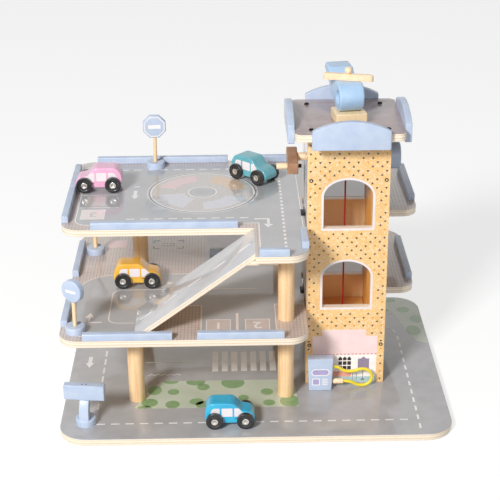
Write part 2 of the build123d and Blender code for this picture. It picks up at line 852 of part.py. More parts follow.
def make_barrier_base():
    disc = Pos(0, 0, sign_base_height / 2) * Cylinder(sign_base_radius, sign_base_height)
    disc = chamfer(disc.edges().group_by(Axis.Z)[-1], sign_base_edge)
    fit = barrier_notch_clearance
    return on_barrier(disc - barrier_post_body(barrier_post_width + 2 * fit, fit))


def make_barrier_post():
    return on_barrier(barrier_post_body(barrier_post_width, 0))


def make_barrier_board():
    length, depth, height = barrier_board
    middle = barrier_post_front() + barrier_lean + depth / 2
    body = chamfer(Box(length, depth, height).edges(), rail_edge)
    return on_barrier(Pos(0, middle, barrier_post_height + height / 2) * body)


# ---- fuel pump ----------------------------------------------------------------------------------
pump_right = pump_x + pump_foot_width / 2
socket_floor = pump_right - hose_socket_depth
nozzle_left = pump_right + (pump_head_width - pump_foot_width) / 2
nozzle_right = nozzle_left + nozzle_length
hose_exit_z = board + hose_exit_height
nozzle_z = board + nozzle_height


def make_pump_body():
    foot = pump_foot_width / 2
    head = pump_head_width / 2
    front = Polyline((-foot, 0), (foot, 0), (head, pump_height), (-head, pump_height), close=True)
    body = extrude(Plane.XZ * make_face(front), pump_depth / 2, both=True)
    body = Pos(pump_x, pump_y, board) * chamfer(body.edges(), pump_edge)
    hose_bore = hose_radius + hose_socket_clearance
    body = body - cylinder_x(hose_bore, socket_floor, pump_right + 5, pump_y, hose_exit_z)
    peg_bore = nozzle_peg_radius + screw_clearance
    return body - cylinder_x(peg_bore, pump_right - nozzle_peg_depth, pump_right + 5, pump_y, nozzle_z)


def make_pump_nozzle():
    """A dowel with a peg into the pump and a socket for the hose."""
    dowel = cylinder_x(nozzle_radius, nozzle_left, nozzle_right, pump_y, nozzle_z)
    dowel = chamfer(dowel.edges(), 0.6)
    peg = cylinder_x(nozzle_peg_radius, pump_right - nozzle_peg_depth, nozzle_left + 1, pump_y, nozzle_z)
    bore = hose_radius + hose_socket_clearance
    return dowel + peg - cylinder_x(bore, nozzle_right - hose_socket_depth, nozzle_right + 1, pump_y, nozzle_z)


def hose_route():
    """The hose's route: out of the pump, in a loop along the tower, and back to the nozzle."""
    return [
        (socket_floor, pump_y, hose_exit_z),
        (105.0, pump_y, hose_exit_z),
        (112.6, -71.6, 33.4),
        (124.0, -70.6, 31.2),
        (138.0, -69.8, 35.9),
        (148.4, -69.6, 30.7),
        (150.8, -69.6, 19.6),
        (143.5, -69.8, 11.1),
        (131.5, -70.6, 11.3),
        (120.8, pump_y, nozzle_z),
        (nozzle_right - hose_socket_depth, pump_y, nozzle_z),
    ]


def make_pump_hose():
    """The limp hose, as straight runs joined by tangent arcs."""
    points = [Vector(*point) for point in hose_route()]
    radii = []
    for before, here, after in zip(points, points[1:], points[2:]):
        turn = (here - before).get_angle(after - here)
        shorter = min((here - before).length, (after - here).length)
        radii.append(0.45 * shorter / math.tan(math.radians(turn / 2)))
    path = FilletPolyline(*points, radius=radii)
    profile = Plane(origin=path @ 0, z_dir=path % 0) * Circle(hose_radius)
    tube = sweep(profile, path)
    print("hose: radii", [round(radius, 1) for radius in radii], "length", round(path.length, 1))
    print("hose: volume", round(tube.volume, 1), "section times length", round(math.pi * hose_radius**2 * path.length, 1))
    return tube


# ---- files --------------------------------------------------------------------------------------
def write(name, shape):
    export_step(shape, "parts/" + name + ".step")


def write_fixed_parts():
    write("base_board", make_base_board())
    write("deck_middle", make_deck_middle())
    write("deck_top", make_deck_top())
    write("deck_posts", make_deck_posts())
    write("deck_rails", make_deck_rails())
    write("ramp", make_ramp())
    write("ramp_ledge", make_ramp_ledge())
    write("tower_front_panel", make_tower_front_panel())
    write("tower_rear_panel", make_tower_rear_panel())
    write("tower_left_panel", make_tower_left_panel())
    write("tower_right_panel", make_tower_right_panel())
    write("shaft_guides", make_shaft_guides())
    write("deck_brackets", make_deck_brackets())
    write("roof_board", make_roof_board())
    write("fascia_front", make_fascia_front())
    write("fascia_rear", make_fascia_rear())
    write("fascia_sides", make_fascia_sides())
    write("tower_screws", make_tower_screws())


def write_lift():
    write("crank_axle", make_crank_axle())
    write("crank_arm", make_crank_arm())
    write("crank_handle", make_crank_handle())
    write("handle_screw", make_handle_screw())
    write("axle_disc", make_axle_disc())
    write("cord_winding", make_cord_winding())
    write("lift_cord", make_lift_cord())
    write("cabin_floor", make_cabin_floor())
    write("cabin_roof", make_cabin_roof())
    write("cabin_sides", make_cabin_sides())
    write("cord_knot", make_cord_knot())


def write_toys():
    write("helicopter_body", make_helicopter_body())
    write("helicopter_block", make_helicopter_block())
    write("rotor_bar", make_rotor_bar())
    write("rotor_pin", make_rotor_pin())
    for name, x, y, floor, heading in cars:
        write(name + "_body", on_road(car_body(), x, y, floor, heading))
        write(name + "_rear_wheels", on_road(car_wheels(-1), x, y, floor, heading))
        write(name + "_front_wheels", on_road(car_wheels(1), x, y, floor, heading))
    write_sign("stop_sign", stop_sign, stop_head())
    write_sign("round_sign", round_sign, round_head())
    write_sign("triangle_sign", triangle_sign, triangle_head())
    write("barrier_base", make_barrier_base())
    write("barrier_post", make_barrier_post())
    write("barrier_board", make_barrier_board())
    write("pump_body", make_pump_body())
    write("pump_nozzle", make_pump_nozzle())
    write("pump_hose", make_pump_hose())


os.makedirs("parts", exist_ok=True)
write_fixed_parts()
write_lift()
write_toys()
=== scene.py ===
"""Looks of a toy parking garage with a lift tower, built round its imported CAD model.

Sizes are written in millimetres, in the CAD model's own frame, and turned to metres where a mesh is made.
"""

import json
import logging
import math
from collections.abc import Callable
from dataclasses import dataclass, field
from enum import Enum

import bpy
from mathutils import Matrix, Vector


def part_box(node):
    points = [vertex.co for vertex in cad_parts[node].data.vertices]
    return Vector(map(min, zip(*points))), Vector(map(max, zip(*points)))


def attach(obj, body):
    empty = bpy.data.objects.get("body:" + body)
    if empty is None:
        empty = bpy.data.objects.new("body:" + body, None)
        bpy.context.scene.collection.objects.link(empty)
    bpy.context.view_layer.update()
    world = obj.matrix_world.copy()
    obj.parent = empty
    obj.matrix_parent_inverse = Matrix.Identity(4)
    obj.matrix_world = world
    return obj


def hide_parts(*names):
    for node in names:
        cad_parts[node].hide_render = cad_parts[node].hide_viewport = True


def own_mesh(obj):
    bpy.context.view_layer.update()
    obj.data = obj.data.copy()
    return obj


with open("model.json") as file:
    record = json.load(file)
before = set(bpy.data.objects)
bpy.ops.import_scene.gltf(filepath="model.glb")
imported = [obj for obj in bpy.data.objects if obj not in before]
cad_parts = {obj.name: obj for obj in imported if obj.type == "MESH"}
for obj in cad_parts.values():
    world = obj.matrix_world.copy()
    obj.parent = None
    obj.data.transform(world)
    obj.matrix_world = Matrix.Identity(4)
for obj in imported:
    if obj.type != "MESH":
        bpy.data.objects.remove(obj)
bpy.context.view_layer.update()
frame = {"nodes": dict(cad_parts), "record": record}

MM = 0.001
Outline = list[tuple[float, float]]
Material = bpy.types.Material
Object = bpy.types.Object
Node = bpy.types.Node
Socket = bpy.types.NodeSocket
Tree = bpy.types.NodeTree

logging.basicConfig(level=logging.INFO, format="%(message)s")
log = logging.getLogger("garage")


# ---- the garage's levels ------------------------------------------------------------------------
class Road(float, Enum):
    """Heights of the three road surfaces above the table."""

    GROUND = 9.0
    MIDDLE = 117.0
    TOP = 225.0


class Grain(Enum):
    """The direction in which a piece of wood was sawn."""

    X = (1.0, 9.0, 9.0)
    Y = (9.0, 1.0, 9.0)
    Z = (9.0, 9.0, 1.0)


# ---- small helpers ------------------------------------------------------------------------------
def linear(hex_colour: str) -> tuple[float, float, float, float]:
    """Turns an sRGB hex colour to linear.

    Args:
        hex_colour: Six hex digits, without a hash.

    Returns:
        Red, green, blue and an alpha of 1.
    """
    channels = [int(hex_colour[i : i + 2], 16) / 255 for i in (0, 2, 4)]
    curve = [c / 12.92 if c <= 0.04045 else ((c + 0.055) / 1.055) ** 2.4 for c in channels]
    return (curve[0], curve[1], curve[2], 1.0)


def add(tree: Tree, kind: str, inputs: dict[int | str, object] | None = None, **settings: object) -> Node:
    """Adds a node with its settings and links.

    Args:
        tree: The material's or world's node tree.
        kind: Blender's name of the node, without its leading ShaderNode.
        inputs: By the input's name or number: a value, a socket, or a node, whose main output is taken.
        **settings: The node's own settings.

    Returns:
        The new node.
    """
    node = tree.nodes.new("ShaderNode" + kind)
    for setting, value in settings.items():
        setattr(node, setting, value)
    for where, value in (inputs or {}).items():
        if isinstance(value, Node):  # a mixed colour is a Mix node's third output
            value = value.outputs[2 if value.bl_idname == "ShaderNodeMix" else 0]
        if isinstance(value, Socket):
            tree.links.new(value, node.inputs[where])
        else:
            node.inputs[where].default_value = value
    return node


def shown_rays(tree: Tree) -> Node:
    """Adds the nodes that tell what is seen, straight or in a gloss, from what only lights the garage.

    Args:
        tree: The material's or world's node tree.

    Returns:
        The node that gives 1 for what is seen.
    """
    rays = add(tree, "LightPath").outputs
    either = add(tree, "Math", {0: rays["Is Camera Ray"], 1: rays["Is Glossy Ray"]}, operation="MAXIMUM")
    return add(tree, "Math", {0: either, 1: rays["Is Transmission Ray"]}, operation="MAXIMUM")


def pick(obj: Object) -> None:
    """Selects one object alone and makes it the active one.

    Args:
        obj: The object.
    """
    bpy.ops.object.select_all(action="DESELECT")
    obj.select_set(True)
    bpy.context.view_layer.objects.active = obj


def linked(name: str, data: bpy.types.ID) -> Object:
    """Puts new object data into the scene and picks it.

    Args:
        name: The object's name.
        data: Its mesh, curve, lamp or camera.

    Returns:
        The new object.
    """
    obj = bpy.data.objects.new(name, data)
    bpy.context.scene.collection.objects.link(obj)
    pick(obj)
    return obj


def baked(obj: Object) -> Object:
    """Moves an object's place into its mesh, so that the object sits at the origin.

    Args:
        obj: The object.

    Returns:
        The same object.
    """
    obj.data.transform(obj.matrix_world)
    obj.matrix_world = Matrix.Identity(4)
    return obj


def modified(obj: Object, kind: str, **settings: object) -> Object:
    """Adds a modifier and applies it.

    Args:
        obj: The mesh to change.
        kind: Blender's name of the modifier type.
        **settings: The modifier's settings.

    Returns:
        The same object.
    """
    pick(obj)
    modifier = obj.modifiers.new(kind.lower(), kind)
    for setting, value in settings.items():
        setattr(modifier, setting, value)
    bpy.ops.object.modifier_apply(modifier=modifier.name)
    return obj


def rounded(obj: Object, width: float, segments: int = 3, angle: float = 30.0) -> Object:
    """Rounds a mesh's hard edges and shades it smooth.

    Args:
        obj: The mesh to change.
        width: Width of the rounding in millimetres.
        segments: Faces across the rounding.
        angle: Edges that turn by more than this many degrees are rounded.

    Returns:
        The same object.
    """
    modified(
        obj,
        "BEVEL",
        width=width * MM,
        segments=segments,
        limit_method="ANGLE",
        angle_limit=math.radians(angle),
        use_clamp_overlap=True,
    )
    return smooth(obj)


def smooth(obj: Object, angle: float = 32.0) -> Object:
    """Shades a mesh smooth, apart from its hard edges.

    Args:
        obj: The mesh.
        angle: Edges that turn by more than this many degrees stay hard.

    Returns:
        The same object.
    """
    pick(obj)
    bpy.ops.object.shade_smooth_by_angle(angle=math.radians(angle))
    return obj


def cleaned(obj: Object, merge: float = 0.002, flat: float = 1.0) -> Object:
    """Merges a mesh's doubled points, joins its flat faces and turns its normals outwards.

    Args:
        obj: The mesh to change.
        merge: Points nearer than this many millimetres become one.
        flat: Faces that turn by less than this many degrees are joined; 0 leaves them.

    Returns:
        The same object.
    """
    pick(obj)
    bpy.ops.object.mode_set(mode="EDIT")
    bpy.ops.mesh.select_all(action="SELECT")
    bpy.ops.mesh.remove_doubles(threshold=merge * MM)
    if flat:
        bpy.ops.mesh.dissolve_limited(angle_limit=math.radians(flat))
    bpy.ops.mesh.normals_make_consistent(inside=False)
    bpy.ops.object.mode_set(mode="OBJECT")
    return obj


def choose(obj: Object, test: Callable[[Vector], bool], faces: bool = False) -> None:
    """Selects a mesh's points or faces by their place, and leaves it in edit mode.

    Args:
        obj: The mesh.
        test: Given a point's place, or a face's middle, in millimetres; true selects it.
        faces: Select faces rather than points.
    """
    pick(obj)
    bpy.ops.object.mode_set(mode="EDIT")
    bpy.ops.mesh.select_mode(type="FACE" if faces else "VERT")
    bpy.ops.mesh.select_all(action="DESELECT")
    bpy.ops.object.mode_set(mode="OBJECT")
    for element in obj.data.polygons if faces else obj.data.vertices:
        place = element.center if faces else element.co
        element.select = test(place / MM)
    bpy.ops.object.mode_set(mode="EDIT")


def leave_edit() -> None:
    """Goes back to object mode."""
    bpy.ops.object.mode_set(mode="OBJECT")


def cylinder(
    name: str, middle: Vector, radius: float, length: float, turn: tuple[float, float, float] = (0, 0, 0),
    sides: int = 40,
) -> Object:
    """Adds a cylinder.

    Args:
        name: The piece's name.
        middle: Its middle in millimetres.
        radius: Its radius in millimetres.
        length: Its length in millimetres.
        turn: Euler angles in degrees; at rest it stands upright.
        sides: Faces round it.

    Returns:
        The cylinder, with its place in its mesh.
    """
    bpy.ops.object.select_all(action="DESELECT")
    angles = [math.radians(angle) for angle in turn]
    bpy.ops.mesh.primitive_cylinder_add(
        vertices=sides, radius=radius * MM, depth=length * MM, location=middle * MM, rotation=angles,
    )
    obj = bpy.context.active_object
    obj.name = name
    bpy.context.view_layer.update()
    return baked(obj)


def joined(name: str, parts: list[Object]) -> Object:
    """Joins several meshes into one piece.

    Args:
        name: The piece's name.
        parts: The meshes.

    Returns:
        The joined piece.
    """
    bpy.ops.object.select_all(action="DESELECT")
    for part in parts:
        part.select_set(True)
    bpy.context.view_layer.objects.active = parts[0]
    bpy.ops.object.join()
    parts[0].name = name
    return parts[0]


def nurbs_tube(name: str, points: list[Vector], radius: float, order: int, across: int, along: int) -> Object:
    """Makes a round tube along a smooth line.

    Args:
        name: The piece's name.
        points: Control points of the line, in millimetres.
        radius: Radius of the tube in millimetres.
        order: Order of the line: 3 bends more closely than 4.
        across: Smoothness round the tube.
        along: Steps from one point to the next.

    Returns:
        The tube, as a curve.
    """
    curve = bpy.data.curves.new(name, "CURVE")
    curve.dimensions = "3D"
    curve.bevel_depth = radius * MM
    curve.bevel_resolution = across
    curve.use_fill_caps = True
    curve.resolution_u = along
    spline = curve.splines.new("NURBS")
    spline.points.add(len(points) - 1)
    for target, point in zip(spline.points, points):
        target.co = (*(point * MM), 1)
    spline.order_u = order
    spline.use_endpoint_u = True
    return linked(name, curve)


def body_of_node(node: str) -> str:
    """Returns the name of the body that a CAD node belongs to."""
    bodies = frame["record"]["behaviour"]["bodies"]
    return next(body for body, nodes in bodies.items() if node in nodes)


def dress(obj: Object, material: Material) -> Object:
    """Gives a piece one material.

    Args:
        obj: The piece.
        material: Its material.

    Returns:
        The same piece.
    """
    obj.data.materials.clear()
    obj.data.materials.append(material)
    return obj


def set_up(obj: Object, body: str, instead_of: str | None = None) -> Object:
    """Lets a finished piece ride on its body, and logs it.

    Args:
        obj: The piece, in place.
        body: The CAD body that carries it.
        instead_of: The CAD node that it stands for, if any.

    Returns:
        The same piece.
    """
    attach(obj, body)
    if instead_of:
        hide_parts(instead_of)
    log.info("%-28s %6d faces on %s", obj.name, len(getattr(obj.data, "polygons", ())), body)
    return obj


def eased_node(node: str, material: Material, edge: float = 0.6, segments: int = 3) -> Object:
    """Makes a copy of a CAD node with softly rounded edges, as sanded and painted wood has.

    Args:
        node: The CAD node.
        material: The copy's material.
        edge: Width of the rounding in millimetres; 0 leaves the edges.
        segments: Faces across the rounding.

    Returns:
        The copy, which stands for the node.
    """
    obj = linked(node + "_piece", frame["nodes"][node].data.copy())
    cleaned(obj)
    rounded(obj, edge, segments, 40.0) if edge else smooth(obj)
    return set_up(dress(obj, material), body_of_node(node), node)


def eased_nodes(rows: list[tuple[str, "Finish", float]]) -> None:
    """Makes eased copies of CAD nodes; each row is a node, its finish and the width of its rounding."""
    for node, finish, edge in rows:
        eased_node(node, finish.material(), edge)


# ---- finishes -----------------------------------------------------------------------------------
class Swatch:
    """An empty material: its shader, and the place on the piece in millimetres."""

    def __init__(self, name: str) -> None:
        """Makes the material.

        Args:
            name: The material's name.
        """
        self.material = bpy.data.materials.new(name)
        self.material.use_nodes = True
        self.tree = self.material.node_tree
        self.tree.nodes.clear()
        self.shader = add(self.tree, "BsdfPrincipled")
        add(self.tree, "OutputMaterial", {"Surface": self.shader})
        where = add(self.tree, "TexCoord").outputs["Object"]
        self.place = add(self.tree, "Mapping", {0: where, "Scale": (1000, 1000, 1000)})

    def finish(
        self,
        colour: Node,
        height: Node,
        depth: float,
        roughness: float,
        coat: float = 0.0,
        coat_roughness: float = 0.1,
        metallic: float = 0.0,
    ) -> None:
        """Sets the shader's sockets, and gives the surface its fine relief.

        Args:
            colour: The node that gives the base colour.
            height: The node that gives the relief's height, from 0 to 1.
            depth: The relief's full depth in millimetres.
            roughness: Roughness of the base.
            coat: Weight of the clear varnish over it.
            coat_roughness: Roughness of that varnish.
            metallic: 1 for bare metal.
        """
        values = {
            "Roughness": roughness, "Coat Weight": coat, "Coat Roughness": coat_roughness,
            "Metallic": metallic,
        }
        for socket, value in values.items():
            self.shader.inputs[socket].default_value = value
        bump = add(self.tree, "Bump", {"Height": height, "Distance": depth * MM, "Strength": 1.0})
        self.tree.links.new(colour.outputs[2], self.shader.inputs["Base Color"])
        self.tree.links.new(bump.outputs[0], self.shader.inputs["Normal"])


@dataclass(frozen=True)
class Finish:
    """A surface as it was made. Its material is made once, and its pieces share it."""

    name: str

    def material(self) -> Material:
        """Makes the finish's material, the first time that it is asked for.

        Returns:
            The material.
        """
        known = bpy.data.materials.get(self.name)
        if known:
            return known
        swatch = Swatch(self.name)
        self.make(swatch)
        return swatch.material

    def make(self, swatch: Swatch) -> None:
        """Builds the nodes; each finish has its own."""
        raise NotImplementedError


@dataclass(frozen=True)
class Enamel(Finish):
    """Water-based toy enamel, sprayed on sanded wood.

    It is satin, a little uneven in tone, and the wood's grain shows through it as faint long ridges.
    """

    colour: str = "C7D4E8"
    shade: str = "B8C8E1"
    roughness: float = 0.4
    coat: float = 0.25
    grain: Grain = Grain.X
    cloud: float = 16.0  # width of the sprayed patches, as a spray gun leaves them
    fibre: float = 6.0  # length of the wood's fibres, drawn coarser than real to show

    def make(self, swatch: Swatch) -> None:
        """Builds the nodes.

        Args:
            swatch: The empty material.
        """
        tree = swatch.tree
        cloud = add(tree, "TexNoise", {"Vector": swatch.place, "Scale": 1 / self.cloud, "Detail": 3.0})
        patches = add(tree, "MapRange", {0: cloud, 1: 0.35, 2: 0.7})
        tone = add(tree, "Mix", {0: patches, 6: linear(self.colour), 7: linear(self.shade)}, data_type="RGBA")
        along = add(tree, "Mapping", {0: swatch.place, "Scale": self.grain.value})
        fibres = add(tree, "TexNoise", {"Vector": along, "Scale": 1 / self.fibre, "Detail": 4.0})
        faint = add(tree, "Math", {0: fibres, 1: 0.12}, operation="MULTIPLY")
        colour = add(tree, "Mix", {0: faint, 6: tone, 7: (0.25, 0.25, 0.3, 1)}, data_type="RGBA")
        swatch.finish(colour, fibres, 0.05, self.roughness, self.coat, 0.14)


@dataclass(frozen=True)
class BareWood(Finish):
    """Sanded, clear-lacquered pine, beech or birch: pale early wood, darker late-wood lines, fine pores."""

    light: str = "FFDDAE"
    dark: str = "EBB376"
    grain: Grain = Grain.Z
    ring: float = 5.0  # distance between late-wood lines
    contrast: float = 0.8
    roughness: float = 0.38

    def make(self, swatch: Swatch) -> None:
        """Builds the nodes.

        Args:
            swatch: The empty material.
        """
        tree = swatch.tree
        slow = tuple(0.03 if value == 1.0 else 1.0 for value in self.grain.value)
        along = add(tree, "Mapping", {0: swatch.place, "Scale": slow})
        waver = add(tree, "TexNoise", {"Vector": along, "Scale": 1 / (2.6 * self.ring), "Detail": 2.0})
        lines = add(tree, "Math", {0: waver, 1: 9.0}, operation="MULTIPLY")
        rings = add(tree, "Math", {0: lines, 1: 0.5}, operation="PINGPONG")
        late = add(tree, "MapRange", {0: rings, 1: 0.28, 2: 0.5})
        fine = add(tree, "Mapping", {0: swatch.place, "Scale": self.grain.value})
        fibres = add(tree, "TexNoise", {"Vector": fine, "Scale": 0.22, "Detail": 5.0})
        both = add(tree, "Math", {0: late, 1: 0.55, 2: fibres}, operation="MULTIPLY_ADD")
        share = add(tree, "MapRange", {0: both, 1: 0.35, 2: 1.15, 4: self.contrast})
        colour = add(tree, "Mix", {0: share, 6: linear(self.light), 7: linear(self.dark)}, data_type="RGBA")
        swatch.finish(colour, fibres, 0.05, self.roughness, 0.25, 0.18)


@dataclass(frozen=True)
class PlyBoard(Finish):
    """Birch plywood, printed and varnished on its show face, with its layers bare on the edges.

    The varnished face is glossy enough to mirror what stands on it. The edge shows pale long-grain
    layers between slightly darker end-grain ones, and the back is plain birch.
    """

    face: tuple[float, float, float] = (0, 0, 1)  # the way the show face looks
    low: float = 0.0  # where the layers start along that way
    thickness: float = 9.0
    plies: float = 2.5
    ink: str = "D3C4BC"
    shade: str = "C6B6AE"
    lines: str = "85736B"
    squares: float = 4.3  # pitch of the printed grid; 0 leaves it out
    line_width: float = 0.5
    confetti: float = 0.0  # share of pale flecks, about 2.5 mm across
    gloss: float = 1.0
    matt: float = 0.05  # roughness of the varnish

    def print_colour(self, swatch: Swatch) -> Node:
        """Returns the show face's colour, with its printed grid or flecks.

        Args:
            swatch: The material.

        Returns:
            The node that gives the colour.
        """
        tree = swatch.tree
        cloud = add(tree, "TexNoise", {"Vector": swatch.place, "Scale": 1 / 22.0, "Detail": 4.0})
        patches = add(tree, "MapRange", {0: cloud, 1: 0.3, 2: 0.72})
        colour = add(tree, "Mix", {0: patches, 6: linear(self.ink), 7: linear(self.shade)}, data_type="RGBA")
        if self.confetti:
            specks = add(tree, "TexNoise", {"Vector": swatch.place, "Scale": 1 / 2.6, "Detail": 1.0})
            fleck = add(tree, "MapRange", {0: specks, 1: 0.54, 2: 0.6, 4: self.confetti})
            return add(tree, "Mix", {0: fleck, 6: colour, 7: linear("FFE8CB")}, data_type="RGBA")
        if self.squares:
            parts = add(tree, "SeparateXYZ", {0: swatch.place}).outputs
            across = [parts[axis] for axis in range(3) if not self.face[axis]]
            waves = [
                add(tree, "Math", {0: part, 1: self.squares / 2}, operation="PINGPONG")
                for part in across
            ]
            nearest = add(tree, "Math", {0: waves[0], 1: waves[1]}, operation="MINIMUM")
            line = add(
                tree, "MapRange",
                {0: nearest, 1: self.line_width / 2, 2: self.line_width / 2 + 0.06, 3: 0.7, 4: 0.0},
            )
            return add(tree, "Mix", {0: line, 6: colour, 7: linear(self.lines)}, data_type="RGBA")
        return colour

    def make(self, swatch: Swatch) -> None:
        """Builds the nodes.

        Args:
            swatch: The empty material.
        """
        tree = swatch.tree
        normal = add(tree, "NewGeometry").outputs["True Normal"]
        facing = add(tree, "VectorMath", {0: normal, 1: self.face}, operation="DOT_PRODUCT").outputs["Value"]
        printed = add(tree, "Math", {0: facing, 1: 0.7}, operation="GREATER_THAN")
        behind = add(tree, "Math", {0: facing, 1: -0.7}, operation="LESS_THAN")
        depth = add(
            tree, "VectorMath", {0: swatch.place, 1: self.face}, operation="DOT_PRODUCT",
        ).outputs["Value"]
        wobble = add(tree, "TexNoise", {"Vector": swatch.place, "Scale": 1 / 30.0})
        wavy = add(tree, "Math", {0: wobble, 1: 0.5, 2: depth}, operation="MULTIPLY_ADD")
        above = add(tree, "Math", {0: wavy, 1: self.low + 0.25}, operation="SUBTRACT")
        layer = add(tree, "Math", {0: above, 1: self.thickness / self.plies}, operation="DIVIDE")
        wave = add(tree, "Math", {0: layer, 1: 0.5}, operation="PINGPONG")
        stripe = add(tree, "MapRange", {0: wave, 1: 0.08, 2: 0.2})
        fibres = add(tree, "TexNoise", {"Vector": swatch.place, "Scale": 0.45, "Detail": 4.0})
        veneer = add(tree, "Mix", {0: fibres, 6: linear("FFF6E8"), 7: linear("F6E2C6")}, data_type="RGBA")
        endgrain = add(tree, "Mix", {0: fibres, 6: linear("EFD9B8"), 7: linear("DDBF94")}, data_type="RGBA")
        edge = add(tree, "Mix", {0: stripe, 6: endgrain, 7: veneer}, data_type="RGBA")
        long = add(tree, "Mapping", {0: swatch.place, "Scale": (0.02, 0.25, 0.25)})
        figure = add(tree, "TexNoise", {"Vector": long, "Detail": 5.0})
        back = add(tree, "Mix", {0: figure, 6: linear("F7DBAB"), 7: linear("E2B77C")}, data_type="RGBA")
        bare = add(tree, "Mix", {0: behind, 6: edge, 7: back}, data_type="RGBA")
        colour = add(tree, "Mix", {0: printed, 6: bare, 7: self.print_colour(swatch)}, data_type="RGBA")
        unprinted = add(tree, "Math", {0: 1.0, 1: printed}, operation="SUBTRACT")
        rough = add(tree, "Math", {0: fibres, 1: unprinted}, operation="MULTIPLY")
        swatch.finish(colour, rough, 0.05, 0.42, self.gloss, self.matt)


@dataclass(frozen=True)
class Ink(Finish):
    """Printed ink under the board's clear varnish: flat, slightly uneven, and as glossy as the board."""

    colour: str = "F8F5F3"
    shade: str = "EFECEA"
    patch: float = 14.0  # width of its uneven patches
    grit: float = 0.0  # share of dark speckle; real print dots are 0.1 mm, and these are 0.9 mm to show
    roughness: float = 0.42
    coat: float = 1.0
    coat_roughness: float = 0.05

    def make(self, swatch: Swatch) -> None:
        """Builds the nodes.

        Args:
            swatch: The empty material.
        """
        tree = swatch.tree
        cloud = add(tree, "TexNoise", {"Vector": swatch.place, "Scale": 1 / self.patch, "Detail": 4.0})
        patches = add(tree, "MapRange", {0: cloud, 1: 0.3, 2: 0.7})
        colour = add(
            tree, "Mix", {0: patches, 6: linear(self.colour), 7: linear(self.shade)}, data_type="RGBA",
        )
        if self.grit:
            dots = add(tree, "TexNoise", {"Vector": swatch.place, "Scale": 1 / 0.9, "Detail": 2.0})
            speckle = add(tree, "MapRange", {0: dots, 1: 0.42, 2: 0.66, 4: self.grit})
            colour = add(tree, "Mix", {0: speckle, 6: colour, 7: linear("6E6A68")}, data_type="RGBA")
        swatch.finish(colour, cloud, 0.02, self.roughness, self.coat, self.coat_roughness)


@dataclass(frozen=True)
class Lacquer(Finish):
    """Black lacquer on turned wood: deep, even colour with a hard gloss and a faint orange peel."""

    colour: str = "100F11"
    shade: str = "19181B"
    roughness: float = 0.3
    coat: float = 0.4

    def make(self, swatch: Swatch) -> None:
        """Builds the nodes.

        Args:
            swatch: The empty material.
        """
        tree = swatch.tree
        peel = add(tree, "TexNoise", {"Vector": swatch.place, "Scale": 1 / 3.0, "Detail": 2.0})
        colour = add(tree, "Mix", {0: peel, 6: linear(self.colour), 7: linear(self.shade)}, data_type="RGBA")
        swatch.finish(colour, peel, 0.02, self.roughness, self.coat, 0.07)


@dataclass(frozen=True)
class Steel(Finish):
    """Cold-headed steel, nickel-plated or blackened, with faint scratches from the die."""

    colour: str = "E6E2DC"
    shade: str = "C2BCB2"
    roughness: float = 0.22

    def make(self, swatch: Swatch) -> None:
        """Builds the nodes.

        Args:
            swatch: The empty material.
        """
        tree = swatch.tree
        along = add(tree, "Mapping", {0: swatch.place, "Scale": (1.0, 3.0, 1.0)})
        scratches = add(tree, "TexNoise", {"Vector": along, "Scale": 1 / 0.8, "Detail": 3.0})
        colour = add(
            tree, "Mix", {0: scratches, 6: linear(self.colour), 7: linear(self.shade)}, data_type="RGBA",
        )
        swatch.finish(colour, scratches, 0.02, self.roughness, metallic=1.0)


@dataclass(frozen=True)
class Braid(Finish):
    """Braided polyester cord: short slanted strands that cross, with a soft sheen, and painted shade in the
    grooves between them.

    The strands follow the cord's own UV map, which runs round it and along it.
    """

    colour: str = "C4161C"
    # painted shade: this darker red is laid in the grooves between the strands
    shade: str = "7D0B10"
    along: float = 160.0  # strand crossings along the cord
    round: float = 4.0
    depth: float = 0.12
    roughness: float = 0.6

    def make(self, swatch: Swatch) -> None:
        """Builds the nodes.

        Args:
            swatch: The empty material.
        """
        tree = swatch.tree
        lay = add(tree, "Mapping", {0: add(tree, "UVMap"), "Scale": (self.along, self.round, 1.0)})
        u, v = add(tree, "SeparateXYZ", {0: lay}).outputs[:2]
        up = add(tree, "Math", {0: u, 1: v}, operation="ADD")
        down = add(tree, "Math", {0: u, 1: v}, operation="SUBTRACT")
        one = add(tree, "Math", {0: up, 1: 0.5}, operation="PINGPONG")
        two = add(tree, "Math", {0: down, 1: 0.5}, operation="PINGPONG")
        nearer = add(tree, "Math", {0: one, 1: two}, operation="MINIMUM")
        strands = add(tree, "MapRange", {0: nearer, 1: 0.0, 2: 0.3})
        # painted shade: the grooves between the strands take the darker shade colour, the strands keep the
        # cord's red
        colour = add(
            tree, "Mix", {0: strands, 6: linear(self.shade), 7: linear(self.colour)}, data_type="RGBA",
        )
        swatch.shader.inputs["Sheen Weight"].default_value = 0.2
        swatch.finish(colour, strands, self.depth, self.roughness)


@dataclass(frozen=True)
class Tubing(Finish):
    """Extruded soft PVC tube: bright, even yellow with a wet gloss and slight draw lines."""

    colour: str = "F7E22E"
    shade: str = "EBCF1B"

    def make(self, swatch: Swatch) -> None:
        """Builds the nodes.

        Args:
            swatch: The empty material.
        """
        tree = swatch.tree
        drawn = add(tree, "TexNoise", {"Vector": swatch.place, "Scale": 1 / 5.0, "Detail": 2.0})
        colour = add(tree, "Mix", {0: drawn, 6: linear(self.colour), 7: linear(self.shade)}, data_type="RGBA")
        swatch.finish(colour, drawn, 0.03, 0.35, 0.6, 0.08)


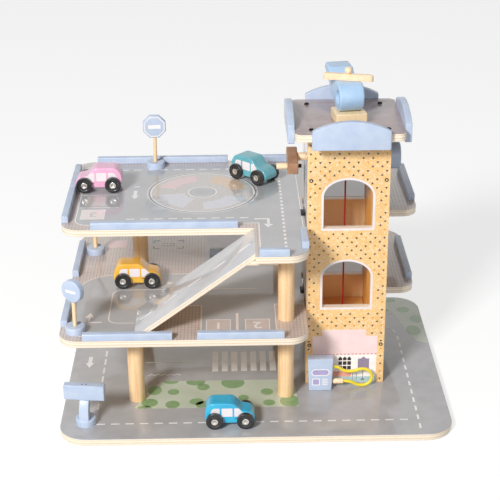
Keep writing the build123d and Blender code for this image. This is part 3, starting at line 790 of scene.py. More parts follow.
class Coat:
    """The finishes that the garage's pieces share."""

    BLUE = Enamel("blue_enamel")
    SKY = Enamel("helicopter_enamel", colour="B8D6F2", shade="A6C9EB", grain=Grain.Y, coat=0.3)
    PINK = Enamel("pink_enamel", colour="F6BAD8", shade="EFA9CC", coat=0.6, roughness=0.32)
    TURQUOISE = Enamel("turquoise_enamel", colour="68B8C4", shade="5AAAB7", coat=0.6, roughness=0.32)
    YELLOW = Enamel("yellow_enamel", colour="F7C03C", shade="EFB22A", coat=0.6, roughness=0.32)
    AZURE = Enamel("azure_enamel", colour="22BEE6", shade="17AEDB", coat=0.6, roughness=0.32)
    BROWN = Enamel("walnut_stain", colour="B68866", shade="9C7050", roughness=0.45, coat=0.1, grain=Grain.Z)
    PINE = BareWood("lacquered_pine")
    POST = BareWood("beech_post", light="FFE0B4", dark="EDBE88", ring=2.0, contrast=0.6)
    BEECH = BareWood("beech_dowel", light="FFE3BE", dark="EFC293", grain=Grain.X, ring=3.0, contrast=0.6)
    BLOCK = BareWood("beech_block", light="F6DDB4", dark="E8C48E", grain=Grain.Y, ring=4.0, contrast=0.6)
    CABIN = BareWood("cabin_birch", light="EFB46B", dark="C98740", grain=Grain.X, ring=6.0, contrast=0.7)
    GUIDE = BareWood("guide_birch", light="F2B560", dark="D4893A", ring=8.0, contrast=0.7)
    ROAD = Ink("road_ink", colour="BBBBBD", shade="AEAEB0", patch=45.0, grit=0.1)
    WHITE = Ink("white_ink")
    MARK = Ink("road_mark_ink", colour="F5E8E4", shade="EDDED9")
    PLATE = Ink("plate_ink", colour="D8CAC5", shade="CDBEB8")
    PALE = Ink("pale_field_ink", colour="DAD5D1", shade="C3BCB6", patch=3.0, grit=0.2)
    ROSE = Ink("rose_ink", colour="EFD3D3", shade="E0C2C0", patch=3.0, grit=0.08)
    PEACH = Ink("peach_ink", colour="E6CAAE", shade="D8BB9E", patch=3.0, grit=0.08)
    MIST = Ink("mist_ink", colour="E2E2E8", shade="D0D0D8", patch=3.0, grit=0.08)
    LILAC = Ink("lilac_ink", colour="CFC9D6", shade="C4BECC")
    LAWN = Ink("lawn_ink", colour="CDD6C4", shade="BFC9B4", patch=30.0)
    BUSH = Ink("bush_ink", colour="8DAF7C", shade="7EA16E", patch=10.0)
    TEAL = Ink("teal_ink", colour="46605F", shade="3C5453")
    DARK = Ink("dark_ink", colour="4A3430", shade="3C2926", coat=0.3)
    ORANGE = Ink("orange_ink", colour="E8A33A", shade="DE9528", coat=0.3)
    AWNING = Ink("awning_ink", colour="FBE2DF", shade="F7D9D7", coat=0.3)
    WALL = Ink("shop_wall_ink", colour="FFFCFA", shade="F8F2EF", coat=0.3)
    TRIM = Ink("shop_trim_ink", colour="E59A97", shade="DD8B89", coat=0.3)
    PLUM = Ink("plum_ink", colour="9A8CA6", shade="8F819B", coat=0.3)
    SALMON = Ink("salmon_ink", colour="F2B0A0", shade="EBA292", coat=0.3)
    AQUA = Ink("aqua_ink", colour="B9D5D6", shade="AECCCE", coat=0.3)
    BLACK_INK = Ink("black_ink", colour="2A1E20", shade="20171A", coat=0.3)
    GLASS = Ink("window_ink", colour="F3ECEE", shade="EBE2E5", coat=0.5)
    SCREEN = Ink("screen_ink", colour="B3A9D2", shade="A89DC9", coat=0.5)
    TYRE = Lacquer("black_lacquer")
    HUB = Steel("nickel_steel")
    BLACK = Steel("blackened_steel", colour="2A2624", shade="1B1918", roughness=0.4)
    HOSE = Tubing("yellow_pvc")


# ---- flat print ---------------------------------------------------------------------------------
def corner_arc(before: Vector, here: Vector, after: Vector, radius: float, steps: int = 7) -> Outline:
    """Replaces a corner with points on a tangent arc.

    Args:
        before: The outline's point before the corner.
        here: The corner.
        after: The outline's point after it.
        radius: Radius of the arc; 0 keeps the corner.
        steps: Points on the arc.

    Returns:
        The points that take the corner's place.
    """
    to_before = (before - here).normalized()
    to_after = (after - here).normalized()
    half = to_before.angle(to_after) / 2
    if radius <= 0 or half > math.radians(89):
        return [(here.x, here.y)]
    reach = min(radius / math.tan(half), 0.49 * (before - here).length, 0.49 * (after - here).length)
    middle = here + (to_before + to_after).normalized() * reach / math.cos(half)
    spoke = here + to_before * reach - middle
    sweep = math.pi - 2 * half
    if to_before.cross(to_after) > 0:
        sweep = -sweep
    points = []
    for step in range(steps):
        point = spoke.copy()
        point.rotate(Matrix.Rotation(sweep * step / (steps - 1), 2))
        points.append(tuple(middle + point))
    return points


def eased(points: Outline, radius: float | list[float], closed: bool = True) -> Outline:
    """Rounds an outline's corners.

    Args:
        points: The outline's corners.
        radius: One radius for all, or one for each.
        closed: Whether the last point joins the first.

    Returns:
        The rounded outline.
    """
    radii = radius if isinstance(radius, list) else [radius] * len(points)
    corners = [Vector(point) for point in points]
    result: Outline = []
    for i, here in enumerate(corners):
        if not closed and i in (0, len(corners) - 1):
            result.append((here.x, here.y))
            continue
        result += corner_arc(corners[i - 1], here, corners[(i + 1) % len(corners)], radii[i])
    return result


@dataclass
class Print:
    """Flat shapes of one ink, gathered as closed outlines in millimetres. They don't overlap."""

    outlines: list[Outline] = field(default_factory=list)

    def area(self, points: Outline, radius: float | list[float] = 0.0) -> "Print":
        """Adds a filled outline with rounded corners, or a hole where it lies in another."""
        self.outlines.append(eased(points, radius))
        return self

    def bar(self, x: tuple[float, float], y: tuple[float, float], radius: float = 0.0) -> "Print":
        """Adds a rectangle between two limits along each axis."""
        return self.area([(x[0], y[0]), (x[1], y[0]), (x[1], y[1]), (x[0], y[1])], radius)

    def frame(
        self, x: tuple[float, float], y: tuple[float, float], width: float, radius: float = 0.0,
    ) -> "Print":
        """Adds a rectangular frame.

        Args:
            x: Lowest and highest X, outside.
            y: Lowest and highest Y, outside.
            width: Width of its four sides.
            radius: Radius of its outer corners.

        Returns:
            The same print.
        """
        self.bar(x, y, radius)
        inner = max(radius - width, 0.0)
        return self.bar((x[0] + width, x[1] - width), (y[0] + width, y[1] - width), inner)

    def oval(
        self, x: float, y: float, across: float, along: float | None = None, start: float = 0.0,
        sides: int = 40,
    ) -> "Print":
        """Adds an ellipse or a regular polygon.

        Args:
            x: Its middle along X.
            y: Its middle along Y.
            across: Its radius along X.
            along: Its radius along Y, if another.
            start: Where its first point lies, in radians.
            sides: Its points.

        Returns:
            The same print.
        """
        along = along or across
        angles = [start + 2 * math.pi * i / sides for i in range(sides)]
        self.outlines.append([(x + across * math.cos(a), y + along * math.sin(a)) for a in angles])
        return self

    def ring(self, x: float, y: float, outer: float, inner: float) -> "Print":
        """Adds a round ring about a point."""
        return self.oval(x, y, outer, sides=72).oval(x, y, inner, sides=72)

    def sector(self, x: float, y: float, radii: tuple[float, float], angles: tuple[float, float]) -> "Print":
        """Adds a part of a ring.

        Args:
            x: Its middle along X.
            y: Its middle along Y.
            radii: Its inner and outer radii.
            angles: Where it starts and ends, in degrees.

        Returns:
            The same print.
        """
        steps = [math.radians(angles[0] + (angles[1] - angles[0]) * i / 14) for i in range(15)]
        outer = [(x + radii[1] * math.cos(a), y + radii[1] * math.sin(a)) for a in steps]
        inner = [(x + radii[0] * math.cos(a), y + radii[0] * math.sin(a)) for a in reversed(steps)]
        self.outlines.append(outer + inner)
        return self

    def line(self, points: Outline, width: float, radius: float | list[float] = 0.0) -> "Print":
        """Adds a line of even width along points, with rounded corners.

        Args:
            points: The line's middle.
            width: The line's width.
            radius: Radius of its corners.

        Returns:
            The same print.
        """
        path = [Vector(point) for point in eased(points, radius, closed=False)]
        left, right = [], []
        for i, here in enumerate(path):
            before = (here - path[i - 1]).normalized() if i else None
            after = (path[i + 1] - here).normalized() if i + 1 < len(path) else None
            way = (before or after) + (after or before)
            way.normalize()
            side = Vector((-way.y, way.x))
            stretch = 1 / max(side.dot(Vector((-(after or before).y, (after or before).x))), 0.5)
            left.append(tuple(here + side * width / 2 * stretch))
            right.append(tuple(here - side * width / 2 * stretch))
        self.outlines.append(left + right[::-1])
        return self

    def dashes(
        self, start: tuple[float, float], end: tuple[float, float], length: float, pitch: float,
        width: float,
    ) -> "Print":
        """Adds a dashed line.

        Args:
            start: Where the first dash starts.
            end: Where the last dash may end.
            length: Length of a dash.
            pitch: From the start of one dash to the next.
            width: Width of a dash.

        Returns:
            The same print.
        """
        first, last = Vector(start), Vector(end)
        way = (last - first).normalized()
        count = int(((last - first).length - length) / pitch + 1e-6) + 1
        for i in range(count):
            here = first + way * pitch * i
            self.line([tuple(here), tuple(here + way * length)], width)
        return self

    def arrow(
        self, tail: tuple[float, float], tip: tuple[float, float], width: float, head: float,
        head_width: float,
    ) -> "Print":
        """Adds a straight arrow.

        Args:
            tail: Where it starts.
            tip: Where it ends.
            width: Width of its shaft.
            head: Length of its head.
            head_width: Width of its head.

        Returns:
            The same print.
        """
        start, end = Vector(tail), Vector(tip)
        way = (end - start).normalized()
        side = Vector((-way.y, way.x))
        neck = end - way * head
        points = [start - side * width / 2, neck - side * width / 2, neck - side * head_width / 2, end]
        points += [neck + side * head_width / 2, neck + side * width / 2, start + side * width / 2]
        self.outlines.append([tuple(point) for point in points])
        return self

    def film(self, name: str, ink: Finish, height: float = 0.1) -> Object:
        """Makes the shapes a thin closed film that lies on the XY plane.

        Args:
            name: The piece's name.
            ink: Its finish.
            height: Its thickness in millimetres; a higher film lies over a lower one.

        Returns:
            The film, not yet on a body.
        """
        curve = bpy.data.curves.new(name, "CURVE")
        curve.dimensions = "2D"
        curve.fill_mode = "BOTH"
        curve.extrude = height / 2 * MM
        for outline in self.outlines:
            spline = curve.splines.new("POLY")
            spline.points.add(len(outline) - 1)
            for point, (x, y) in zip(spline.points, outline):
                point.co = (x * MM, y * MM, 0, 1)
            spline.use_cyclic_u = True
        obj = linked(name, curve)
        bpy.ops.object.convert(target="MESH")
        obj = bpy.context.active_object
        obj.data.transform(Matrix.Translation((0, 0, height / 2 * MM)))
        cleaned(obj, 0.0005, 0.0)
        return dress(obj, ink.material())


def on_road(height: float) -> Matrix:
    """Returns the frame of a horizontal face at a height."""
    return Matrix.Translation((0, 0, height * MM))


def on_front(y: float) -> Matrix:
    """Returns the frame of an upright face that looks to the front, with X across and Y up it."""
    return Matrix.Translation((0, y * MM, 0)) @ Matrix.Rotation(math.radians(90), 4, "X")


def on_back(y: float) -> Matrix:
    """Returns the frame of an upright face that looks to the back; X runs the other way on it."""
    return Matrix.Translation((0, y * MM, 0)) @ Matrix.Rotation(math.pi, 4, "Z") @ Matrix.Rotation(
        math.radians(90), 4, "X",
    )


def stuck(obj: Object, place: Matrix, body: str) -> Object:
    """Lays a film on its surface and lets it ride on a body."""
    obj.data.transform(place)
    return set_up(obj, body)


def numeral(text: str, x: float, y: float, height: float, upside_down: bool = False) -> Object:
    """Makes a plain number as a thin film on the XY plane.

    Args:
        text: The digits.
        x: Its middle along X.
        y: Its middle along Y.
        height: Height of the digits.
        upside_down: Turned to read from the back.

    Returns:
        The number, not yet on a body.
    """
    bpy.ops.object.select_all(action="DESELECT")
    bpy.ops.object.text_add()
    obj = bpy.context.active_object
    obj.name = "number_" + text
    obj.data.body = text
    obj.data.align_x = "CENTER"
    obj.data.align_y = "CENTER"
    obj.data.size = height * 1.4 * MM
    obj.data.extrude = 0.07 * MM
    obj.data.offset = 0.35 * MM
    bpy.ops.object.convert(target="MESH")
    obj = bpy.context.active_object
    turn = Matrix.Rotation(math.pi if upside_down else 0.0, 4, "Z")
    obj.data.transform(Matrix.Translation((x * MM, y * MM, 0.07 * MM)) @ turn)
    return cleaned(obj, 0.0005, 0.0)


# ---- decks --------------------------------------------------------------------------------------
@dataclass
class Boards:
    """The ground board, both decks and the ramp, with the road printed on them."""

    line: float = 1.3
    lobe_right: float = 65.0
    tower_back: float = 45.5
    ramp_foot: tuple[float, float] = (-147.0, 117.0)
    ramp_top: tuple[float, float] = (0.5, 225.0)
    ramp_front: float = -130.6
    ramp_back: float = -54.4

    def build(self) -> None:
        """Builds and dresses the boards, their prints, posts and rails."""
        ground = PlyBoard("ground_board", low=0.0, squares=0.0, ink="B3B2B4", shade="A5A4A6")
        eased_nodes([
            ("base_board", ground, 0.9),
            ("deck_middle", PlyBoard("middle_board", low=108.0), 0.5),
            ("deck_top", PlyBoard("top_board", low=216.0), 0.5),
            ("deck_posts", Coat.PINE, 0.4),
            ("deck_rails", Coat.BLUE, 0.5),
            ("ramp_ledge", PlyBoard("ledge_board", low=208.0, squares=0.0), 0.4),
        ])
        self.ground_print()
        self.middle_print()
        self.top_print()
        self.ramp()

    def lay(self, name: str, print_: Print, ink: Finish, road: Road, height: float) -> None:
        """Lays one ink on a road."""
        stuck(print_.film(name, ink, height), on_road(road.value), "garage")

    def lawn_spots(
        self, name: str, spots: list[tuple[float, float, float, float]],
        limits: tuple[float, float, float, float],
    ) -> None:
        """Lays green ovals on the ground board.

        Args:
            name: The piece's name.
            spots: Each oval's middle and radii.
            limits: Lowest and highest X, and lowest and highest Y, that they are cut off at.
        """
        films = []
        for i, (x, y, across, along) in enumerate(spots):
            spot = Print().oval(x, y, across, along)
            held = [
                (min(max(px, limits[0]), limits[1]), min(max(py, limits[2]), limits[3]))
                for px, py in spot.outlines[0]
            ]
            tidy = [point for k, point in enumerate(held) if point != held[k - 1]]
            films.append(Print([tidy]).film(f"{name}_{i}", Coat.BUSH, 0.12))
        stuck(joined(name, films), on_road(Road.GROUND.value), "garage")

    def ground_print(self) -> None:
        """Prints the ground board: lanes, a crossing, and lawns with bushes."""
        white = Print()
        white.dashes((-195.5, -152.4), (187.0, -152.4), 10.3, 17.7, 2.3)
        white.dashes((-197.0, -118.0), (-197.0, 36.0), 15.5, 23.0, 2.4)
        white.dashes((199.3, -173.0), (199.3, 46.0), 11.0, 20.7, 2.6)
        white.line(
            [(199.2, 55.0), (198.4, 66.0)], 2.6,
        ).line([(197.2, 76.0), (194.6, 85.5)], 2.6).line([(191.0, 92.0), (183.0, 97.0)], 2.6)
        white.arrow((-217.3, 19.4), (-217.3, -10.1), 5.2, 13.0, 11.5)
        for i in range(7):
            left = -55.0 + 12.65 * i
            white.bar((left, left + 8.0), (-25.0, 28.7))
        white.line([(-143.8, 1.4), (-57.5, 1.4)], 1.6)
        zigzag = [(-138.0 + 4.2 * i, -32.0 + (1.6 if i % 2 else -1.6)) for i in range(11)]
        white.line(zigzag, 1.1)
        self.lay("ground_markings", white, Coat.WHITE, Road.GROUND, 0.14)
        lawn = Print().area(
            [(-118.0, -49.0), (50.5, -49.0), (54.5, -117.0), (-152.0, -117.0), (-134.0, -66.0)],
            [3, 3, 3, 3, 12],
        )
        self.lay("front_lawn", lawn, Coat.LAWN, Road.GROUND, 0.08)
        spots = [
            (-103.9, -77.0, 7.4, 7.4), (-104.0, -108.0, 9.0, 9.5), (-28.0, -55.0, 15.0, 15.0),
            (15.2, -79.8, 8.0, 8.4),
            (-14.8, -94.0, 6.8, 7.0), (17.3, -107.0, 7.6, 7.4), (-66.0, -65.5, 8.0, 8.4),
            (-76.0, -52.0, 12.5, 9.0),
            (-74.0, -102.0, 9.0, 8.0), (-64.0, -110.0, 11.0, 9.5), (-133.0, -103.0, 10.5, 10.0),
            (-128.0, -72.0, 9.0, 12.0),
            (44.0, -104.0, 13.0, 14.0), (40.0, -62.0, 10.0, 9.0), (-108.0, -50.0, 10.0, 6.5),
            (-139.0, -116.0, 9.0, 6.0),
        ]
        self.lawn_spots("front_bushes", spots, (-150.0, 54.0, -116.9, -49.1))
        edge = [
            (170.0, 185.5), (170.0, 140.0), (192.6, 136.6), (202.0, 131.8), (207.0, 112.0), (214.0, 80.0),
            (223.3, 50.6), (238.5, 44.0), (238.5, 185.5),
        ]
        park = Print().area(edge, [1, 10, 8, 6, 14, 20, 10, 1, 34])
        self.lay("corner_lawn", park, Coat.LAWN, Road.GROUND, 0.08)
        corner_spots = [
            (201.0, 176.0, 9.0, 6.0), (216.8, 146.0, 9.2, 9.0), (232.0, 117.0, 9.0, 11.0),
            (223.5, 82.0, 9.8, 14.0), (190.0, 145.0, 7.0, 5.0),
        ]
        self.lawn_spots("corner_bushes", corner_spots, (172.0, 238.4, 0.0, 185.0))

    def middle_print(self) -> None:
        """Prints the middle deck: a road round an island, two bays and tiled corners."""
        road = Print()
        outline = [
            (-225.0, -128.0), (-226.0, 46.0), (-63.0, 46.0), (-63.0, 118.0), (150.0, 118.0),
            (150.0, self.tower_back + 0.6),
            (self.lobe_right - 0.6, self.tower_back + 0.6), (self.lobe_right - 0.6, -47.0), (26.0, -47.0),
            (26.0, -131.0),
            (-66.0, -131.0), (-66.0, -47.5), (-140.0, -47.5), (-140.0, -128.0),
        ]
        road.area(outline, [40, 44, 2, 2, 8, 0.5, 0.5, 0.5, 3, 0.5, 0.5, 3, 3, 0.5])
        self.lay("middle_road", road, Coat.ROAD, Road.MIDDLE, 0.08)
        lilac = Print().bar((-63.0, 150.0), (118.5, 176.0), 1.0)
        self.lay("middle_lilac", lilac, Coat.LILAC, Road.MIDDLE, 0.08)
        lines = Print()
        lines.line(
            [(-190.0, -125.0), (-225.0, -127.0), (-226.0, 46.0), (-66.0, 47.5)], self.line,
            [0, 40, 44, 0],
        )
        lines.line(
            [(4.0, -0.3), (-180.8, 0.4), (-180.8, -93.0), (-148.5, -93.0)], self.line + 0.2,
            [0, 12, 12, 0],
        )
        lines.line([(-140.0, -47.5), (-66.0, -47.5), (-66.0, -131.0)], self.line, 0.0)
        lines.line([(63.5, -47.0), (26.0, -47.0), (26.0, -131.0)], self.line, 0.0)
        lines.line([(-204.5, -77.0), (-204.5, -90.0), (-188.6, -90.0)], 2.8, 0.0)
        lines.arrow((-204.5, -77.5), (-204.5, -64.8), 3.0, 12.0, 11.5)
        lines.arrow((-139.0, 19.5), (-103.0, 19.5), 3.2, 9.0, 9.5)
        lines.bar((-23.2, -20.0), (-120.5, -71.0))
        self.lay("middle_markings", lines, Coat.MARK, Road.MIDDLE, 0.14)
        for i, left in enumerate((-60.0, -12.0)):
            right = left + 30.5
            self.lay(
                f"bay_field_{i + 1}", Print().bar((left, right), (-118.5, -87.2)), Coat.PLATE,
                Road.MIDDLE, 0.12,
            )
            number = numeral(str(i + 1), (left + right) / 2, -102.8, 17.0, True)
            dress(number, Coat.WHITE.material())
            number.data.transform(Matrix.Translation((0, 0, 0.12 * MM)))
            stuck(number, on_road(Road.MIDDLE.value), "garage")
            frame_print = Print().frame((left, right), (-118.5, -87.2), 1.0)
            self.lay(f"bay_frame_{i + 1}", frame_print, Coat.WHITE, Road.MIDDLE, 0.18)
        self.service_panels()

    def service_panels(self) -> None:
        """Prints two small panels with corner marks behind the road."""
        marks = Print()
        for x in (-135.0, -94.0):
            for y in (131.0, 158.0):
                inward = 1 if x < -114 else -1
                marks.line([(x + inward * 8.0, y), (x, y), (x, y + (8.0 if y < 145 else -8.0))], 2.0)
        marks.frame((-123.0, -106.0), (140.0, 149.0), 0.9, 3.0)
        self.lay("service_marks", marks, Coat.TEAL, Road.MIDDLE, 0.12)
        panel = Print().bar((-198.0, -172.0), (136.0, 161.0), 3.0)
        self.lay("wash_panel", panel, Coat.ROSE, Road.MIDDLE, 0.1)

    def top_print(self) -> None:
        """Prints the top deck: a road round a turning circle, bays and arrows."""
        road = Print()
        outline = [
            (-221.5, -37.5), (-221.5, 163.0), (150.0, 163.0), (150.0, self.tower_back + 0.6),
            (self.lobe_right - 0.6, self.tower_back + 0.6),
            (self.lobe_right - 0.6, -138.5), (7.0, -138.5), (7.0, -37.5),
        ]
        road.area(outline, [16, 18, 12, 0.5, 0.5, 22, 0.5, 0.5])
        self.lay("top_road", road, Coat.ROAD, Road.TOP, 0.08)
        x, y = -64.2, 68.2
        pale = Print().oval(x, y, 66.5, sides=72).oval(x, y, 18.0, sides=48)
        self.lay("circle_field", pale, Coat.PALE, Road.TOP, 0.1)
        self.lay("circle_rose", Print().sector(x, y, (38.0, 60.0), (100.0, 162.0)), Coat.ROSE, Road.TOP, 0.12)
        self.lay("circle_peach", Print().sector(x, y, (34.0, 60.0), (10.0, 76.0)), Coat.PEACH, Road.TOP, 0.12)
        mist = Print().sector(x, y, (24.0, 58.0), (188.0, 246.0)).sector(x, y, (34.0, 60.0), (272.0, 338.0))
        self.lay("circle_mist", mist, Coat.MIST, Road.TOP, 0.12)
        self.lay("circle_edge", Print().ring(x, y, 69.6, 68.8), Coat.DARK, Road.TOP, 0.11)
        white = Print()
        white.ring(x, y, 68.4, 66.4).ring(x, y, 72.4, 71.6).ring(x, y, 19.0, 17.4).ring(x, y, 12.4, 12.0)
        white.line([(7.0, -112.0), (7.0, -37.5), (-221.5, -37.5), (-221.5, 118.0)], self.line, [0, 0, 16, 0])
        white.line([(-219.5, 62.5), (-174.0, 62.5)], self.line)
        white.line([(-219.5, 19.5), (-171.0, 19.5)], self.line)
        white.arrow((-151.8, 76.0), (-151.8, 47.0), 4.6, 11.6, 10.2)
        white.bar((-154.0, -147.0), (88.5, 91.5))
        white.dashes((-194.0, 152.5), (24.0, 152.5), 10.6, 17.8, 2.4)
        white.dashes((-158.7, -20.2), (-4.0, -20.2), 10.7, 17.8, 2.4)
        white.line([(1.5, -24.6), (19.0, -24.6), (19.0, -41.0)], 3.2, 0.0)
        white.arrow((19.0, -40.5), (18.0, -52.0), 3.4, 11.0, 12.5)
        white.dashes((37.7, -114.0), (37.7, 148.0), 6.0, 11.9, 3.2)
        white.line([(61.2, -68.0), (60.6, 126.0)], 1.0)
        self.lay("top_markings", white, Coat.WHITE, Road.TOP, 0.14)
        self.lay("bay_plate", Print().bar((-216.5, -186.0), (-19.5, 12.5)), Coat.MARK, Road.TOP, 0.1)
        self.lay(
            "bay_plate_frame", Print().frame((-216.5, -186.0), (-19.5, 12.5), 0.9), Coat.WHITE, Road.TOP,
            0.13,
        )
        self.lay("upper_bay", Print().bar((-214.0, -188.0), (24.5, 58.0)), Coat.PALE, Road.TOP, 0.1)
        number = numeral("3", -201.2, -3.5, 15.0, True)
        dress(number, Coat.PALE.material())
        stuck(number, on_road(Road.TOP.value + 0.1), "garage")

    def ramp(self) -> None:
        """Dresses the ramp: printed road with a dashed middle, bare plywood edges."""
        run = self.ramp_top[0] - self.ramp_foot[0]
        rise = self.ramp_top[1] - self.ramp_foot[1]
        length = math.hypot(run, rise)
        face = (-rise / length, 0.0, run / length)
        height = face[0] * self.ramp_foot[0] + face[2] * self.ramp_foot[1]
        finish = PlyBoard(
            "ramp_board", face, height - 6.0, 6.0, 1.5, ink="CDCCCE", shade="BFBEC1", squares=0.0,
        )
        eased_node("ramp", finish.material(), 0.4)
        middle = (self.ramp_front + self.ramp_back) / 2
        dashes = Print().dashes((7.0, middle), (length - 5.0, middle), 20.0, 37.4, 2.9)
        film = dashes.film("ramp_dashes", Coat.WHITE, 0.12)
        tilt = Matrix.Rotation(-math.atan2(rise, run), 4, "Y")
        place = Matrix.Translation(Vector((self.ramp_foot[0], 0, self.ramp_foot[1])) * MM)
        stuck(film, place @ tilt, "garage")


# ---- tower --------------------------------------------------------------------------------------
@dataclass
class Tower:
    """The lift tower: four printed panels, a roof with curved fascias, and its screws."""

    x: float = 115.5
    front: float = -59.0
    back: float = 45.0
    left: float = 65.5
    right: float = 165.5
    foot: float = 9.0
    head: float = 343.0
    board: float = 9.0
    door_half: float = 30.0
    door_shoulder: float = 42.0
    door_rise: float = 21.5
    pitch: float = 11.5  # between the print's triangles
    row: float = 11.0
    triangle: float = 1.95  # from a triangle's middle to its corners
    gap: float = 5.5  # plain paper left round the openings
    shop_front: tuple[float, float, float] = (73.5, 159.0, 79.0)  # its left, right and top
    shop_board: tuple[float, float, float] = (84.0, 144.0, 88.0)
    screw_across: float = 45.5
    screw_heights: tuple[float, float] = (64.0, 288.0)

    def build(self) -> None:
        """Builds and dresses the tower."""
        paper = {
            "squares": 0.0, "ink": "F8CE8E", "shade": "F3C27B", "confetti": 0.5, "gloss": 0.3,
            "matt": 0.2,
        }
        front = PlyBoard("front_panel_print", face=(0, -1, 0), low=self.front, **paper)
        rear = PlyBoard("rear_panel_print", face=(0, 1, 0), low=self.back - self.board, **paper)
        sides = {"ink": "CFC0B8", "shade": "C2B2AA"}
        left = PlyBoard("left_panel_print", face=(-1, 0, 0), low=self.left, **sides)
        right = PlyBoard("right_panel_print", face=(1, 0, 0), low=self.right - self.board, **sides)
        roof = PlyBoard(
            "roof_board_print", low=self.head, squares=0.0, ink="AA9897", shade="978483", gloss=0.7,
            matt=0.15,
        )
        eased_nodes([
            ("tower_front_panel", front, 0.5),
            ("tower_rear_panel", rear, 0.5),
            ("tower_left_panel", left, 0.4),
            ("tower_right_panel", right, 0.4),
            ("shaft_guides", Coat.GUIDE, 0.4),
            ("roof_board", roof, 1.0),
            ("fascia_front", Coat.BLUE, 0.7),
            ("fascia_rear", Coat.BLUE, 0.7),
            ("fascia_sides", Coat.BLUE, 0.7),
            ("tower_screws", Coat.BLACK, 0.3),
            ("deck_brackets", Coat.BLACK, 0.2),
        ])
        self.front_print()
        self.rear_print()

    def door(self, sill: float, margin: float = 0.0) -> Outline:
        """Returns an arched doorway's outline.

        Args:
            sill: Height of its sill.
            margin: How far outside the opening the outline runs.

        Returns:
            The outline, across and up the panel.
        """
        half, rise = self.door_half + margin, self.door_rise + margin
        shoulder = sill + self.door_shoulder
        arch = [
            (self.x + half * math.cos(a), shoulder + rise * math.sin(a))
            for a in (math.pi * i / 24 for i in range(25))
        ]
        return arch + [(self.x - half, sill - margin), (self.x + half, sill - margin)]

    def clear(self, x: float, z: float, sills: list[float], shop: bool) -> bool:
        """Tells whether a spot of the panel lies clear of its openings and shop front.

        Args:
            x: Where the spot lies across the panel.
            z: Its height.
            sills: Heights of the openings' sills.
            shop: Whether a shop front covers the foot.

        Returns:
            True where the paper's pattern may be printed.
        """
        for left, right, top in (self.shop_front, self.shop_board):
            if shop and left < x < right and z < top:
                return False
        for sill in sills:
            shoulder = sill + self.door_shoulder
            reach = self.door_half + self.gap
            if abs(x - self.x) < reach and sill - self.gap < z < shoulder:
                return False
            across = (x - self.x) / reach
            if z >= shoulder and abs(across) < 1 and z - shoulder < (
                self.door_rise + self.gap
            ) * math.sqrt(1 - across**2):
                return False
        return True

    def triangles(self, sills: list[float], shop: bool, mirror: bool) -> tuple[Print, Print]:
        """Returns the print's small triangles that lie clear of the openings.

        Args:
            sills: Heights of the openings' sills.
            shop: Whether a shop front covers the foot.
            mirror: Whether X runs the other way, as on the rear panel.

        Returns:
            The dark triangles and the orange ones.
        """
        dark, orange = Print(), Print()
        size = self.triangle
        for i in range(31):
            for k in range(10):
                z = self.foot + 5.0 + i * self.row
                x = self.left + 3.6 + k * self.pitch
                for up, px, pz in ((False, x, z), (True, x + self.pitch / 2, z + self.row / 2)):
                    missing = up and (k + i) % 3 == 1
                    if missing or not self.left + 2.0 < px < self.right - 2.0 or not pz < self.head - 3.0:
                        continue
                    if not self.clear(px, pz, sills, shop):
                        continue
                    turn = 90 if up else -90
                    corners = [math.radians(turn + 120 * n) for n in range(3)]
                    flip = -1 if mirror else 1
                    shape = [(flip * (px + size * math.cos(a)), pz + size * math.sin(a)) for a in corners]
                    third = not up and (k + i) % 3 == 0
                    (orange if third else dark).outlines.append(shape)
        return dark, orange

    def pattern(self, word: str, sills: list[float], place: Matrix) -> None:
        """Prints a panel's dark and orange triangles.

        Args:
            word: The panel: front or rear.
            sills: Heights of its openings' sills.
            place: The frame of its face.
        """
        dark, orange = self.triangles(sills, word == "front", word == "rear")
        stuck(dark.film(word + "_dark_triangles", Coat.DARK, 0.06), place, "garage")
        stuck(orange.film(word + "_orange_triangles", Coat.ORANGE, 0.06), place, "garage")

    def front_print(self) -> None:
        """Prints the front panel: triangles, white window edges and a small shop front."""
        place = on_front(self.front)
        sills = [Road.MIDDLE.value, Road.TOP.value]
        self.pattern("front", sills, place)
        edges = Print()
        for sill in sills:
            edges.outlines += [self.door(sill, 2.7), self.door(sill, 0.1)]
        stuck(edges.film("window_edges", Coat.GLASS, 0.1), place, "garage")
        bolts = Print()
        for side in (-1, 1):
            for height in self.screw_heights:
                bolts.oval(self.x + side * self.screw_across, height, 1.15, sides=20)
        stuck(bolts.film("bolt_centres", Coat.BLOCK, 0.05), on_front(self.front - 0.6), "garage")
        self.shop(place)

